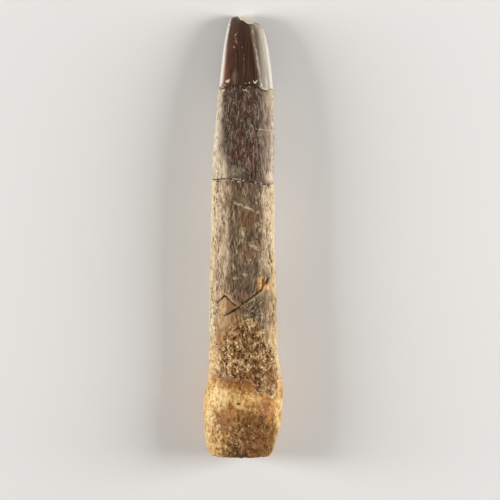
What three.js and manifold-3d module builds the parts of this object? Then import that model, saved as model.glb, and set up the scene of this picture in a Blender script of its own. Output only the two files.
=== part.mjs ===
// Fossil tooth of a long-necked plant-eating dinosaur: a peg-shaped crown of dark, glossy
// enamel on a long root, whose lower part carries a rough crust of sediment above a swollen foot.
// It is one piece. Two breaks run round it, a small flake has lifted beside two more cracks,
// and a chip is gone from the tip.
//
// Millimetres. The tooth lies on its hollow side. +Y runs from the broken root end to the tip,
// +Z is up, out of the rounded face, and +X is to the right with the tip pointing away.
// The origin is on the resting surface, at the middle of the box round the tooth.
import * as THREE from "three";
import { ImprovedNoise } from "three/addons/math/ImprovedNoise.js";
import { mergeVertices } from "three/addons/utils/BufferGeometryUtils.js";
import Module from "manifold-3d";

const wasm = await Module();
wasm.setup();

// ---------------------------------------------------------------- driving dimensions

const LENGTH = 63;
const WIDTH = 11.4; // across the foot, the widest place
const THICKNESS = 8; // front to back of the foot

const STEPS_ROUND = 44; // faces round the tooth
const CREST_SHARE = 0.47; // how far across the width the highest line of the face runs
const WAIST_SHARE = 0.46; // how far up the thickness the widest line of the side runs
const REST_FLAT_DEPTH = 0.12; // how much of the foot and the tip is worn away underneath

const CRUST_START = 10.7; // the crust, measured along the tooth from the root end
const CRUST_END = 20;
const CRUST_SLANT = 0.37; // how much nearer the root end it starts for each step to the right
const ROOT_TO_CROWN = 38.6; // where the root ends and the enamel begins
const NECK_BREAK = 39.6; // the two breaks that run right round
const CROWN_BREAK = 52.75;
const SCAR_LEDGE = 36; // the tip end of the scar on the root's face
const KEEL_TURN = 0.95; // the low keel down the right of the crown's face, as a turn from the side
const CRUST_LUMP = 1.3; // about how large the crust's lumps are, and the crumbs on them
const CRUST_CRUMB = 0.75;
const SCATTERED_PITS = 26;

// Outline at places along the tooth, from the root end: shares of half the width to the
// left and right, and of the thickness underneath and on top.
const stations = [
  { along: 0.0, left: 0.71, right: 0.59, under: 0.24, top: 0.8 },
  { along: 0.5, left: 0.81, right: 0.7, under: 0.14, top: 0.88 },
  { along: 1.8, left: 0.92, right: 0.81, under: 0.06, top: 0.945 },
  { along: 4.5, left: 0.975, right: 0.92, under: 0.0, top: 0.985 },
  { along: 7.6, left: 1.0, right: 0.975, under: -0.015, top: 1.0 },
  { along: 9.6, left: 0.945, right: 1.0, under: 0.005, top: 0.985 },
  { along: 11.4, left: 0.88, right: 0.955, under: 0.05, top: 0.92 },
  { along: 15.0, left: 0.86, right: 0.86, under: 0.1, top: 0.925 },
  { along: 22.0, left: 0.84, right: 0.835, under: 0.15, top: 0.96 },
  { along: 31.0, left: 0.82, right: 0.79, under: 0.18, top: 0.975 },
  { along: 38.6, left: 0.795, right: 0.77, under: 0.185, top: 0.955 },
  { along: 47.5, left: 0.69, right: 0.785, under: 0.155, top: 0.875 },
  { along: 53.0, left: 0.6, right: 0.75, under: 0.11, top: 0.78 },
  { along: 57.5, left: 0.515, right: 0.655, under: 0.055, top: 0.645 },
  { along: 60.3, left: 0.43, right: 0.545, under: 0.01, top: 0.515 },
  { along: 62.0, left: 0.36, right: 0.415, under: -0.01, top: 0.4 },
  { along: 62.8, left: 0.28, right: 0.22, under: 0.02, top: 0.29 },
  { along: 63.0, left: 0.16, right: 0.02, under: 0.08, top: 0.2 },
];

// ---------------------------------------------------------------- the smooth form

// A smooth curve through one column of the stations.
function through(column) {
  const slope = (i, j) =>
    (stations[j][column] - stations[i][column]) / (stations[j].along - stations[i].along);
  const last = stations.length - 1;
  const tangents = stations.map((_, i) => {
    if (i === 0) return slope(0, 1);
    if (i === last) return slope(last - 1, last);
    const before = slope(i - 1, i);
    const after = slope(i, i + 1);
    return before * after <= 0 ? 0 : (2 * before * after) / (before + after);
  });
  return (along) => {
    let i = 0;
    while (i < last - 1 && along > stations[i + 1].along) i++;
    const span = stations[i + 1].along - stations[i].along;
    const t = (along - stations[i].along) / span;
    const back = 1 - t;
    return (
      stations[i][column] * (1 + 2 * t) * back * back +
      tangents[i] * span * t * back * back +
      stations[i + 1][column] * (3 - 2 * t) * t * t -
      tangents[i + 1] * span * t * t * back
    );
  };
}

const leftShare = through("left");
const rightShare = through("right");
const underShare = through("under");
const topShare = through("top");

// How boxy a quarter of the section is: 2 is an ellipse. The crown's right flank is rounder
// than its left, and the root is a little boxier than both.
function squareness(along, cosine, sine) {
  const crown = THREE.MathUtils.smoothstep(along, ROOT_TO_CROWN - 6, ROOT_TO_CROWN + 12);
  if (sine < 0) return 2.2;
  return cosine > 0 ? 2.4 - 0.25 * crown : 2.4 + 0.2 * crown;
}

const signedPower = (value, power) => Math.sign(value) * Math.abs(value) ** power;

// The point of the smooth form at a place along the tooth and a turn round it. Turn 0 is
// the right side, and a quarter turn is the top.
function formPoint(along, turn) {
  const left = (-leftShare(along) * WIDTH) / 2;
  const right = (rightShare(along) * WIDTH) / 2;
  const under = underShare(along) * THICKNESS;
  const top = topShare(along) * THICKNESS;
  const crest = THREE.MathUtils.lerp(left, right, CREST_SHARE);
  const waist = THREE.MathUtils.lerp(under, top, WAIST_SHARE);
  const cosine = Math.cos(turn);
  const sine = Math.sin(turn);
  const power = 2 / squareness(along, cosine, sine);
  const halfAcross = cosine > 0 ? right - crest : crest - left;
  const halfUp = sine > 0 ? top - waist : waist - under;
  return new THREE.Vector3(
    crest + halfAcross * signedPower(cosine, power),
    along - LENGTH / 2,
    waist + halfUp * signedPower(sine, power),
  );
}

// The way out of the smooth form at a point of it.
function formOutward(along, turn) {
  const step = 0.02;
  const near = THREE.MathUtils.clamp(along, step, LENGTH - step);
  const round = formPoint(near, turn + step).sub(formPoint(near, turn - step));
  const forward = formPoint(near + step, turn).sub(formPoint(near - step, turn));
  return round.cross(forward).normalize().negate();
}

// ---------------------------------------------------------------- relief of the surface

const noise = new ImprovedNoise();

// Smooth unevenness from -1 to 1, with lumps about as large as grain says.
function uneven(p, grain, stretch = 1) {
  return noise.noise(p.x / grain, p.y / (grain * stretch), p.z / grain);
}

// 1 inside a stretch along the tooth, fading to 0 over the fade at each end.
function stretchOf(along, start, end, fade) {
  const { smoothstep } = THREE.MathUtils;
  return smoothstep(along, start - fade, start) * (1 - smoothstep(along, end, end + fade));
}

// Crust covers the rounded face, leaves the flanks bare, and clings in patches underneath.
function crustCover(along, p) {
  const { smoothstep } = THREE.MathUtils;
  const height = p.z / THICKNESS;
  const face = smoothstep(height, 0.68, 0.84);
  const patches = smoothstep(uneven(p, 4), -0.1, 0.2);
  const behind = 0.6 * patches * (1 - smoothstep(height, 0.15, 0.4));
  const ragged = 1.2 * uneven(p, 2.2);
  const start = CRUST_START - CRUST_SLANT * p.x * face;
  return Math.max(face, behind) * stretchOf(along + ragged, start + 0.4, CRUST_END - 0.4, 0.8);
}

// A shallow scar where a thin scale of the root has broken away, steep at its tip end.
function scar(along, p) {
  const across = Math.exp(-(((p.x - 0.3) / 1.6) ** 2));
  const below = SCAR_LEDGE - 0.42 * p.x - along;
  const inside = THREE.MathUtils.smoothstep(below, 0, 0.35);
  const fading = 1 - THREE.MathUtils.smoothstep(below, 0.8, 6);
  return p.z > THICKNESS / 2 ? across * inside * fading : 0;
}

// How far the real surface stands out of the smooth form.
function relief(along, turn, p) {
  const root = 1 - THREE.MathUtils.smoothstep(along, ROOT_TO_CROWN - 3, ROOT_TO_CROWN + 5);
  const resting = THREE.MathUtils.smoothstep(p.z, 0.1, 1.3);
  const ends = stretchOf(along, 1, LENGTH - 2.5, 1);
  const crust = crustCover(along, p);
  const flutes = 0.035 * Math.sin(11 * turn + 2 * uneven(p, 9)) + 0.05 * uneven(p, 1.1, 7);
  const swells = (0.06 + 0.1 * root) * uneven(p, 5, 1.5);
  const lumps = crust * (0.55 * uneven(p, CRUST_LUMP) + 0.35 * uneven(p, CRUST_CRUMB) + 0.1);
  const keel = 0.1 * Math.exp(-(((turn - KEEL_TURN) / 0.16) ** 2)) * stretchOf(along, 52, 60.5, 3);
  return resting * ends * (flutes + swells + lumps + keel) - 0.25 * scar(along, p);
}

function surfacePoint(along, turn) {
  const p = formPoint(along, turn);
  return p.addScaledVector(formOutward(along, turn), relief(along, turn, p));
}

// ---------------------------------------------------------------- solids

function solidFrom(geometry) {
  const bare = geometry.clone();
  bare.deleteAttribute("normal");
  bare.deleteAttribute("uv");
  const merged = mergeVertices(bare, 1e-5);
  const make = (triVerts) =>
    new wasm.Manifold(
      new wasm.Mesh({
        numProp: 3,
        vertProperties: new Float32Array(merged.attributes.position.array),
        triVerts,
      }),
    );
  const corners = new Uint32Array(merged.index.array);
  const made = make(corners);
  return made.volume() > 0 ? made : make(corners.reverse());
}

function geometryFrom(solid) {
  const mesh = solid.getMesh();
  const geometry = new THREE.BufferGeometry();
  geometry.setAttribute("position", new THREE.BufferAttribute(mesh.vertProperties, 3));
  geometry.setIndex(new THREE.BufferAttribute(mesh.triVerts, 1));
  geometry.computeVertexNormals();
  return geometry;
}

function indexedGeometry(points, faces) {
  const geometry = new THREE.BufferGeometry().setFromPoints(points);
  geometry.setIndex(faces.flat());
  return geometry;
}

// Spacing of the rings: close in the crust and at the two ends, wider on the even stretches.
function ringSpacing(along) {
  const toTip = LENGTH - along;
  if (toTip < 3) return 0.1 + 0.18 * toTip;
  if (along < 2) return 0.4;
  if (along > CRUST_START - 2 && along < CRUST_END + 0.5) return 0.5;
  return 1.3;
}

// The whole tooth before it is cracked and chipped: rings joined by faces, closed at both ends.
function toothBody() {
  const places = [];
  for (let along = 0; along < LENGTH - 0.05; along += ringSpacing(along)) places.push(along);
  places.push(LENGTH);
  const points = [];
  for (const along of places) {
    for (let k = 0; k < STEPS_ROUND; k++) {
      points.push(surfacePoint(along, (k / STEPS_ROUND) * 2 * Math.PI));
    }
  }
  const faces = [];
  for (let ring = 0; ring < places.length - 1; ring++) {
    for (let k = 0; k < STEPS_ROUND; k++) {
      const a = ring * STEPS_ROUND + k;
      const b = ring * STEPS_ROUND + ((k + 1) % STEPS_ROUND);
      faces.push([a, b, a + STEPS_ROUND], [b, b + STEPS_ROUND, a + STEPS_ROUND]);
    }
  }
  for (const [ring, along] of [[0, 0], [places.length - 1, LENGTH]]) {
    const middle = formPoint(along, 0).lerp(formPoint(along, Math.PI), 0.5);
    const centre = points.push(middle) - 1;
    for (let k = 0; k < STEPS_ROUND; k++) {
      const a = ring * STEPS_ROUND + k;
      const b = ring * STEPS_ROUND + ((k + 1) % STEPS_ROUND);
      faces.push(ring === 0 ? [centre, b, a] : [centre, a, b]);
    }
  }
  return solidFrom(indexedGeometry(points, faces));
}

// ---------------------------------------------------------------- cracks

const CRACK_RISE = 0.6; // how far a cutting blade stands clear of the surface

// A V-shaped blade that follows a route over the surface. Each step of the route has its
// place along the tooth, its turn, and the crack's width and depth there.
function crackBlade(route, closed) {
  const seats = route.map(({ along, turn }) => ({
    point: formPoint(along, turn),
    outward: formOutward(along, turn),
  }));
  const count = route.length;
  const points = [];
  seats.forEach(({ point, outward }, i) => {
    const ahead = seats[closed ? (i + 1) % count : Math.min(i + 1, count - 1)].point;
    const behind = seats[closed ? (i + count - 1) % count : Math.max(i - 1, 0)].point;
    const side = ahead.clone().sub(behind).cross(outward).normalize();
    const { width, depth } = route[i];
    const halfBrim = (width / 2) * (1 + CRACK_RISE / depth);
    const brim = point.clone().addScaledVector(outward, CRACK_RISE);
    points.push(
      point.clone().addScaledVector(outward, -depth),
      brim.clone().addScaledVector(side, halfBrim),
      brim.clone().addScaledVector(side, -halfBrim),
    );
  });
  const faces = [];
  for (let i = 0; i < (closed ? count : count - 1); i++) {
    const here = 3 * i;
    const next = 3 * ((i + 1) % count);
    for (const [a, b] of [[0, 1], [1, 2], [2, 0]]) {
      faces.push([here + a, here + b, next + a], [here + b, next + b, next + a]);
    }
  }
  if (!closed) {
    const end = 3 * (count - 1);
    faces.push([0, 2, 1], [end, end + 1, end + 2]);
  }
  return solidFrom(indexedGeometry(points, faces));
}

// Where the two breaks run, as [x, along]: over the face from left to right, and back underneath.
const neckOverFace = [
  [-4.4, 39.7], [-3.7, 39.85], [-2.6, 39.96], [-1.4, 39.9], [-0.6, 39.73], [0.8, 39.52],
  [1.7, 39.25], [2.7, 39.13], [4.2, 39.13],
];
const neckUnderneath = [
  [-4.4, 39.7], [-2.8, 39.3], [-1, 39.75], [0.9, 39.45], [2.6, 39.8], [4.2, 39.13],
];
const crownOverFace = [
  [-3.3, 52.7], [-2.5, 52.8], [-1.6, 53.15], [0.9, 53.15], [1.7, 52.95], [2.2, 52.7],
  [2.8, 52.4], [3.4, 52.25], [3.8, 52.6], [4.3, 52.4],
];
const crownUnderneath = [
  [-3.3, 52.7], [-2, 53], [-0.3, 52.4], [1.3, 52.7], [3, 52.2], [4.3, 52.4],
];

// The place along the tooth that a list of [x, along] gives at x.
function alongAt(points, x) {
  if (x <= points[0][0]) return points[0][1];
  for (let i = 1; i < points.length; i++) {
    const [x0, along0] = points[i - 1];
    const [x1, along1] = points[i];
    if (x <= x1) return THREE.MathUtils.mapLinear(x, x0, x1, along0, along1);
  }
  return points[points.length - 1][1];
}

// A break that runs right round the tooth, wider in some places than in others.
function breakRound(middle, overFace, underneath, width, depth) {
  const steps = 48;
  const route = [];
  for (let k = 0; k < steps; k++) {
    const turn = (k / steps) * 2 * Math.PI;
    const { x } = formPoint(middle, turn);
    const open = 1 + 0.5 * Math.sin(3 * turn + middle);
    route.push({
      along: alongAt(Math.sin(turn) > 0 ? overFace : underneath, x),
      turn,
      width: width * open,
      depth: depth * open,
    });
  }
  return crackBlade(route, true);
}

// The turn at which the smooth form's upper half has a given x.
function turnAt(along, x) {
  let low = 0;
  let high = Math.PI;
  for (let i = 0; i < 30; i++) {
    const turn = (low + high) / 2;
    if (formPoint(along, turn).x > x) low = turn;
    else high = turn;
  }
  return (low + high) / 2;
}

// A crack over the face, through points given as [x, along], tapering to its ends.
function crackOver(points, width, depth) {
  const line = new THREE.CatmullRomCurve3(
    points.map(([x, along]) => new THREE.Vector3(x, along, 0)),
    false,
    "chordal",
  );
  const steps = Math.ceil(line.getLength() / 0.6);
  const route = line.getSpacedPoints(steps).map(({ x, y: along }, i) => {
    const taper = 0.35 + 0.65 * Math.sin((Math.PI * i) / steps);
    return { along, turn: turnAt(along, x), width: width * taper, depth: depth * taper };
  });
  return crackBlade(route, false);
}

// The cracks over the face, as [x, along]. The long one slants down from the right and curves
// under the flake; the peaked one parts off the flake above. The splinter has two sides.
const slant = [
  [2.8, 24.6], [2.5, 24.1], [1.8, 23.6], [0.7, 22.8], [-0.2, 22.2], [-1.15, 21.4],
  [-1.9, 20.9], [-2.5, 20.6], [-3.15, 20.7], [-3.75, 20.9], [-4.2, 21.3],
];
const peak = [
  [-4.5, 22.6], [-3.73, 22.45], [-3.15, 22.85], [-2.68, 23.35], [-2.4, 23.2], [-1.9, 22.7],
  [-1.43, 22.2],
];
const splinterLeft = [[2.75, 25.85], [2.85, 25.2], [2.8, 24.6]];
const splinterRight = [[3.75, 25.9], [3.2, 25.1], [2.8, 24.6]];

function cracks() {
  return [
    breakRound(CROWN_BREAK, crownOverFace, crownUnderneath, 0.3, 0.4),
    breakRound(NECK_BREAK, neckOverFace, neckUnderneath, 0.28, 0.35),
    crackOver(slant, 0.35, 0.55),
    crackOver(peak, 0.3, 0.45),
    crackOver(splinterLeft, 0.4, 0.6),
    crackOver(splinterRight, 0.45, 0.7),
  ];
}

// ---------------------------------------------------------------- chips and hollows

// A rough ball that cuts out a pit or a nick.
function roughBall([x, along, z], [radiusX, radiusY, radiusZ], detail = 1) {
  const geometry = new THREE.IcosahedronGeometry(1, detail);
  const place = geometry.attributes.position;
  for (let i = 0; i < place.count; i++) {
    const p = new THREE.Vector3().fromBufferAttribute(place, i);
    p.multiplyScalar(1 + 0.12 * noise.noise(3 * p.x + x, 3 * p.y + along, 3 * p.z + z));
    place.setXYZ(i, p.x * radiusX, p.y * radiusY, p.z * radiusZ);
  }
  geometry.translate(x, along - LENGTH / 2, z);
  return solidFrom(geometry);
}

// The chip off the tip: a block whose rough floor slopes down to the right and the front.
function tipChip() {
  const size = 9;
  const geometry = new THREE.BoxGeometry(size, size, size, 12, 1, 12);
  const place = geometry.attributes.position;
  for (let i = 0; i < place.count; i++) {
    const p = new THREE.Vector3().fromBufferAttribute(place, i);
    const floor = p.y < 0 ? 0.12 * noise.noise(p.x * 1.1, 0.5, p.z * 1.1) : 0;
    place.setY(i, p.y + floor);
  }
  geometry.translate(0, size / 2, 0);
  const slope = new THREE.Vector3(0.31, 1, 0.21).normalize();
  const turned = new THREE.Quaternion().setFromUnitVectors(new THREE.Vector3(0, 1, 0), slope);
  geometry.applyQuaternion(turned);
  geometry.translate(-0.75, LENGTH / 2 - 0.04, 0.55);
  return solidFrom(geometry);
}

// A pit centred on the surface.
function pit(along, turn, radii, detail) {
  const { x, z } = surfacePoint(along, turn);
  return roughBall([x, along, z], radii, detail);
}

// Pits in the foot and the crust, a few larger ones by hand and the rest scattered.
function pits() {
  const made = [
    pit(8.1, turnAt(8.1, -0.6), [0.5, 0.28, 0.35]),
    pit(30.2, turnAt(30.2, 3.9), [0.3, 0.4, 0.4]),
    pit(28.3, turnAt(28.3, 3.7), [0.2, 0.5, 0.25]),
  ];
  const golden = Math.PI * (3 - Math.sqrt(5));
  for (let k = 0; k < SCATTERED_PITS; k++) {
    const along = 2 + ((k * 7.13) % 17);
    const turn = (k * golden) % (2 * Math.PI);
    if (formPoint(along, turn).z < 1.5) continue;
    const radius = 0.22 + 0.14 * ((k * 0.37) % 1);
    made.push(pit(along, turn, [radius, radius, radius], 0));
  }
  return made;
}

// The shallow hollow in the root end, and the nick where it breaks through the upper edge.
function rootHollow() {
  return [
    roughBall([-0.35, 0, 4.1], [2.5, 1.2, 1.5], 2),
    roughBall([-0.3, 0, 6.25], [0.85, 0.6, 0.75]),
  ];
}

// What wear has taken off underneath: it leaves the two flats that the tooth rests on.
function wornAway() {
  const depth = 4;
  const block = new THREE.BoxGeometry(2 * WIDTH, 2 * LENGTH, depth);
  block.translate(0, 0, -depth / 2 + underShare(7.6) * THICKNESS + REST_FLAT_DEPTH);
  return solidFrom(block);
}

// ---------------------------------------------------------------- the tooth

const cuts = [...cracks(), tipChip(), ...pits(), ...rootHollow(), wornAway()];
const tooth = geometryFrom(cuts.reduce((solid, cut) => solid.subtract(cut), toothBody()));

// Stands the tooth on z = 0, with the middle of its box over the origin.
tooth.computeBoundingBox();
const middle = tooth.boundingBox.getCenter(new THREE.Vector3());
tooth.translate(-middle.x, -middle.y, -tooth.boundingBox.min.z);

const fossil = new THREE.MeshStandardMaterial({
  color: 0x7a6350,
  roughness: 0.5,
  metalness: 0,
});

const group = new THREE.Group();
const mesh = new THREE.Mesh(tooth, fossil);
mesh.name = "tooth";
group.add(mesh);

export default group;
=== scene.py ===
import math

import bmesh
import bpy
import numpy as np
from mathutils import Matrix, Vector, kdtree, noise
from mathutils.bvhtree import BVHTree


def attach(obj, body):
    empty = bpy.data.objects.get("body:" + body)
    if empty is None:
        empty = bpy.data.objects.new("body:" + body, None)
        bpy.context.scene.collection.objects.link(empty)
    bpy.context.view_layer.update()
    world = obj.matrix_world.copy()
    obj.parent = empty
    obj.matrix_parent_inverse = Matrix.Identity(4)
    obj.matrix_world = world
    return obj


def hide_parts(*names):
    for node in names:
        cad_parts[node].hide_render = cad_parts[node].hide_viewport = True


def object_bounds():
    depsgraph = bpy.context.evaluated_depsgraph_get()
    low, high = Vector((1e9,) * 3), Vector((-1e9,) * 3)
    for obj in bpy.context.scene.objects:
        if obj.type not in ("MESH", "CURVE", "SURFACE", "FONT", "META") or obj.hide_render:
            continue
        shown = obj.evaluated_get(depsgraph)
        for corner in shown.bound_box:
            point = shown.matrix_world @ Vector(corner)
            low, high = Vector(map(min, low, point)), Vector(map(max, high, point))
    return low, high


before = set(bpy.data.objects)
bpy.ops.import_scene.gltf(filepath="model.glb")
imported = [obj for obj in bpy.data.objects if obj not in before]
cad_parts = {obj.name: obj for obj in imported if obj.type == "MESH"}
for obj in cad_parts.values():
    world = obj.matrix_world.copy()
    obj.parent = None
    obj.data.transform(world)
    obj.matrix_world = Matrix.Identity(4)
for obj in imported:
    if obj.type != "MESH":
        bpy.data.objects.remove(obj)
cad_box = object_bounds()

# ---------------------------------------------------------------- the view
# The tooth lies on its hollow side, so the camera hangs over its rounded face, with the tip at
# the top of the picture. It leans a little towards the tip, which shows the chip there.

PICTURE = 500  # pixels each way
LENGTH_IN_PICTURE = 443.2  # pixels
TOOTH_MIDDLE = (243.25, 238.0)  # pixels from the left and the top
CAMERA_LEAN = math.radians(4)
AIM_HEIGHT = 0.75  # as a share of the tooth's thickness
LENS, SENSOR = 300, 36  # millimetres


def added(name, data):
    """A new object in the scene."""
    made = bpy.data.objects.new(name, data)
    bpy.context.scene.collection.objects.link(made)
    return made


lowest, highest = cad_box
pixel = (highest.y - lowest.y) * math.cos(CAMERA_LEAN) / LENGTH_IN_PICTURE
right = Vector((1, 0, 0))
back = Vector((0, math.sin(CAMERA_LEAN), math.cos(CAMERA_LEAN)))
up = back.cross(right)
aim = Vector((0, 0, AIM_HEIGHT * highest.z))
aim += right * (PICTURE / 2 - TOOTH_MIDDLE[0]) * pixel
aim -= up * (PICTURE / 2 - TOOTH_MIDDLE[1]) * pixel

camera = added("camera", bpy.data.cameras.new("camera"))
camera.data.lens = LENS
camera.data.sensor_width = SENSOR
camera.data.clip_start = 0.01
turned = Matrix((right, up, back)).transposed().to_4x4()
camera.matrix_world = Matrix.Translation(aim + back * pixel * PICTURE * LENS / SENSOR) @ turned
bpy.context.scene.camera = camera
bpy.context.scene.view_settings.view_transform = "Standard"

# ---------------------------------------------------------------- the table and the studio
# A plain pale table. Two long soft boxes stand low on either side, the right one broader, so
# the flanks of the tooth are bright and its face stays dark. The sky is pale at the horizon.

TABLE_SIDE = 3.0
TABLE_PAINT = (0.86, 0.85, 0.83, 1)
HORIZON = (0.42, 0.41, 0.40, 1)
ZENITH = (0.15, 0.14, 0.125, 1)


class Wire:
    """A socket of a node tree. Sums and products of wires add Math nodes."""

    def __init__(self, tree, socket=None):
        self.tree = tree
        self.socket = socket

    def node(self, kind, settings, sockets, output=0):
        """The output of a new node of some kind, with its settings made and its sockets filled."""
        made = self.tree.nodes.new(kind)
        for name, setting in settings.items():
            if name == "stops":
                for stop in list(made.color_ramp.elements)[1:]:
                    made.color_ramp.elements.remove(stop)
                made.color_ramp.elements[0].position = setting[0][0]
                made.color_ramp.elements[0].color = setting[0][1]
                for place, colour in setting[1:]:
                    made.color_ramp.elements.new(place).color = colour
            else:
                setattr(made, name, setting)
        for name, given in sockets.items():
            if isinstance(given, Wire):
                self.tree.links.new(given.socket, made.inputs[name])
            else:
                made.inputs[name].default_value = given
        return Wire(self.tree, made.outputs[output] if made.outputs else None)

    def maths(self, operation, *terms):
        """A Math node's outcome from wires and numbers."""
        return self.node("ShaderNodeMath", {"operation": operation}, dict(enumerate(terms)))

    def __add__(self, other):
        return self.maths("ADD", self, other)

    def __sub__(self, other):
        return self.maths("SUBTRACT", self, other)

    def __rsub__(self, other):
        return self.maths("SUBTRACT", other, self)

    def __mul__(self, other):
        return self.maths("MULTIPLY", self, other)

    def __truediv__(self, other):
        return self.maths("DIVIDE", self, other)

    def __abs__(self):
        return self.maths("ABSOLUTE", self)

    __radd__ = __add__
    __rmul__ = __mul__

    def rise(self, start, end):
        """0 before start and 1 after end, with a smooth rise between; it falls if start is more."""
        turned_round = start > end
        first, last = (end, start) if turned_round else (start, end)
        sockets = {"Value": self, "From Min": first, "From Max": last}
        settings = {"interpolation_type": "SMOOTHSTEP"}
        risen = self.node("ShaderNodeMapRange", settings, sockets)
        return 1 - risen if turned_round else risen

    def mixed(self, low, high):
        """The colour low where this wire is 0, and high where it is 1."""
        return self.node("ShaderNodeMix", {"data_type": "RGBA"}, {0: self, 6: low, 7: high}, 2)


world = bpy.data.worlds.new("studio")
world.use_nodes = True
world.node_tree.nodes.clear()
sky = Wire(world.node_tree)
direction = sky.node("ShaderNodeTexCoord", {}, {}, "Generated")
height = sky.node("ShaderNodeSeparateXYZ", {}, {"Vector": direction}, "Z")
paleness = height.rise(0.75, 0.05)
shine = sky.node("ShaderNodeBackground", {}, {"Color": paleness.mixed(ZENITH, HORIZON)})
sky.node("ShaderNodeOutputWorld", {}, {"Surface": shine})
bpy.context.scene.world = world

table_mesh = bpy.data.meshes.new("table")
half = TABLE_SIDE / 2
table_mesh.from_pydata(
    [(-half, -half, 0), (half, -half, 0), (half, half, 0), (-half, half, 0)], [], [(0, 1, 2, 3)]
)


def new_finish(name):
    """A material with an empty node tree, and a wire to fill it with."""
    made = bpy.data.materials.new(name)
    made.use_nodes = True
    made.node_tree.nodes.clear()
    return made, Wire(made.node_tree)


def close_finish(tree, shading):
    """The end of a finish: its surface, shaded by the values and wires given."""
    surface = tree.node("ShaderNodeBsdfPrincipled", {}, shading)
    tree.node("ShaderNodeOutputMaterial", {}, {"Surface": surface})


table_finish, plain = new_finish("table")
close_finish(plain, {"Base Color": TABLE_PAINT, "Roughness": 0.9})
table_mesh.materials.append(table_finish)
table = added("table", table_mesh)


def soft_box(name, place, size, power):
    """A rectangular lamp at a place, turned to the tooth, its long side along the tooth."""
    lamp = bpy.data.lights.new(name, "AREA")
    lamp.shape = "RECTANGLE"
    lamp.size, lamp.size_y = size
    lamp.energy = power
    made = added(name, lamp)
    facing_tooth = Vector(place).normalized().to_track_quat("Z", "Y").to_matrix().to_4x4()
    made.matrix_world = Matrix.Translation(place) @ facing_tooth
    made.visible_camera = False


soft_box("left_box", place=(-0.30, 0.01, 0.045), size=(0.08, 0.36), power=1.7)
soft_box("right_box", place=(0.30, 0.02, 0.07), size=(0.13, 0.36), power=1.7)

# ---------------------------------------------------------------- the tooth: its form
# One natural solid, a peg of dentine with an enamel cap, turned to stone. A fine net is drawn
# over its whole surface, close enough to carry the lumps of the crust and the finest cracks.

MM = 0.001  # places on the tooth are in millimetres, across and along it from the root end
AROUND = 220  # columns of the net
RINGS = 396  # rings along the sides, besides those over the two ends
ROOT_END_RINGS, TIP_END_RINGS = 30, 20  # rings over the two ends
ROOT_END_DEPTH, TIP_END_DEPTH = 2.2, 1.5  # how far inside the ends their rays start
FACE_CROWDING = 0.22  # how much closer the columns stand on the face than underneath
NECK_BREAK, CROWN_BREAK = 39.6, 52.75  # along the tooth from the root end
OUTSIDE = 50  # well outside the solid
SPINE_PLACES = 16
CLOSING = 4  # steps on the net, enough to bridge the solid's grooves
BLUR, END_BLUR = 90, 5  # times

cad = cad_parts["tooth"]
corners = [corner.co / MM for corner in cad.data.vertices]
solid = BVHTree.FromPolygons(corners, [tuple(face.vertices) for face in cad.data.polygons])
root_end, tip_end, crest = lowest.y / MM, highest.y / MM, highest.z / MM
LENGTH = tip_end - root_end


def reach(origin, way):
    """How far the solid's surface lies from a point inside it."""
    hit = solid.ray_cast(origin, way)[0]
    return (hit - Vector(origin)).length


def spine_curves():
    """The middle of the solid, across and upwards, as smooth functions of the place along it."""
    places, middles = np.linspace(root_end + 2, tip_end - 2, SPINE_PLACES), []
    for y in places:
        top = solid.ray_cast(Vector((0, y, OUTSIDE)), Vector((0, 0, -1)))[0].z
        under = solid.ray_cast(Vector((0, y, -OUTSIDE)), Vector((0, 0, 1)))[0].z
        z = (top + under) / 2
        from_right = solid.ray_cast(Vector((OUTSIDE, y, z)), Vector((-1, 0, 0)))[0].x
        from_left = solid.ray_cast(Vector((-OUTSIDE, y, z)), Vector((1, 0, 0)))[0].x
        middles.append(((from_left + from_right) / 2, z))
    across, upwards = np.array(middles).T
    fit = np.polynomial.Polynomial.fit
    return fit(places, across, 4), fit(places, upwards, 4)


spine_x, spine_z = spine_curves()
even = np.arange(AROUND) / AROUND * 2 * np.pi
turns = even + FACE_CROWDING * np.cos(even)  # 0 is the right side, a quarter turn is the face
radial = np.stack([np.cos(turns), np.zeros(AROUND), np.sin(turns)], axis=1)


def spine(y):
    """The middle of the solid at a place along it."""
    return np.array([spine_x(y), y, spine_z(y)])


def rise(value, start, end):
    """0 before start and 1 after end, with a smooth rise between; it falls if start is more."""
    share = np.clip((value - start) / (end - start), 0, 1)
    return share * share * (3 - 2 * share)


def bump_at(value, middle, half_width):
    """A soft bump of height 1."""
    return np.exp(-(((value - middle) / half_width) ** 2))


def ring_places():
    """Places of the side rings: close in the foot and the crust, and closest at the breaks."""
    fine = np.linspace(ROOT_END_DEPTH, LENGTH - TIP_END_DEPTH, 4000)
    crowding = 1 + 0.6 * rise(fine, 29, 25) + 0.3 * rise(fine, 24, 21)
    crowding += 2.2 * (bump_at(fine, NECK_BREAK, 0.9) + bump_at(fine, CROWN_BREAK, 0.9))
    crowding += 0.8 * rise(fine, LENGTH - 5, LENGTH - 2)
    count = np.cumsum(crowding)
    return np.interp(np.linspace(count[0], count[-1], RINGS), count, fine)


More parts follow.
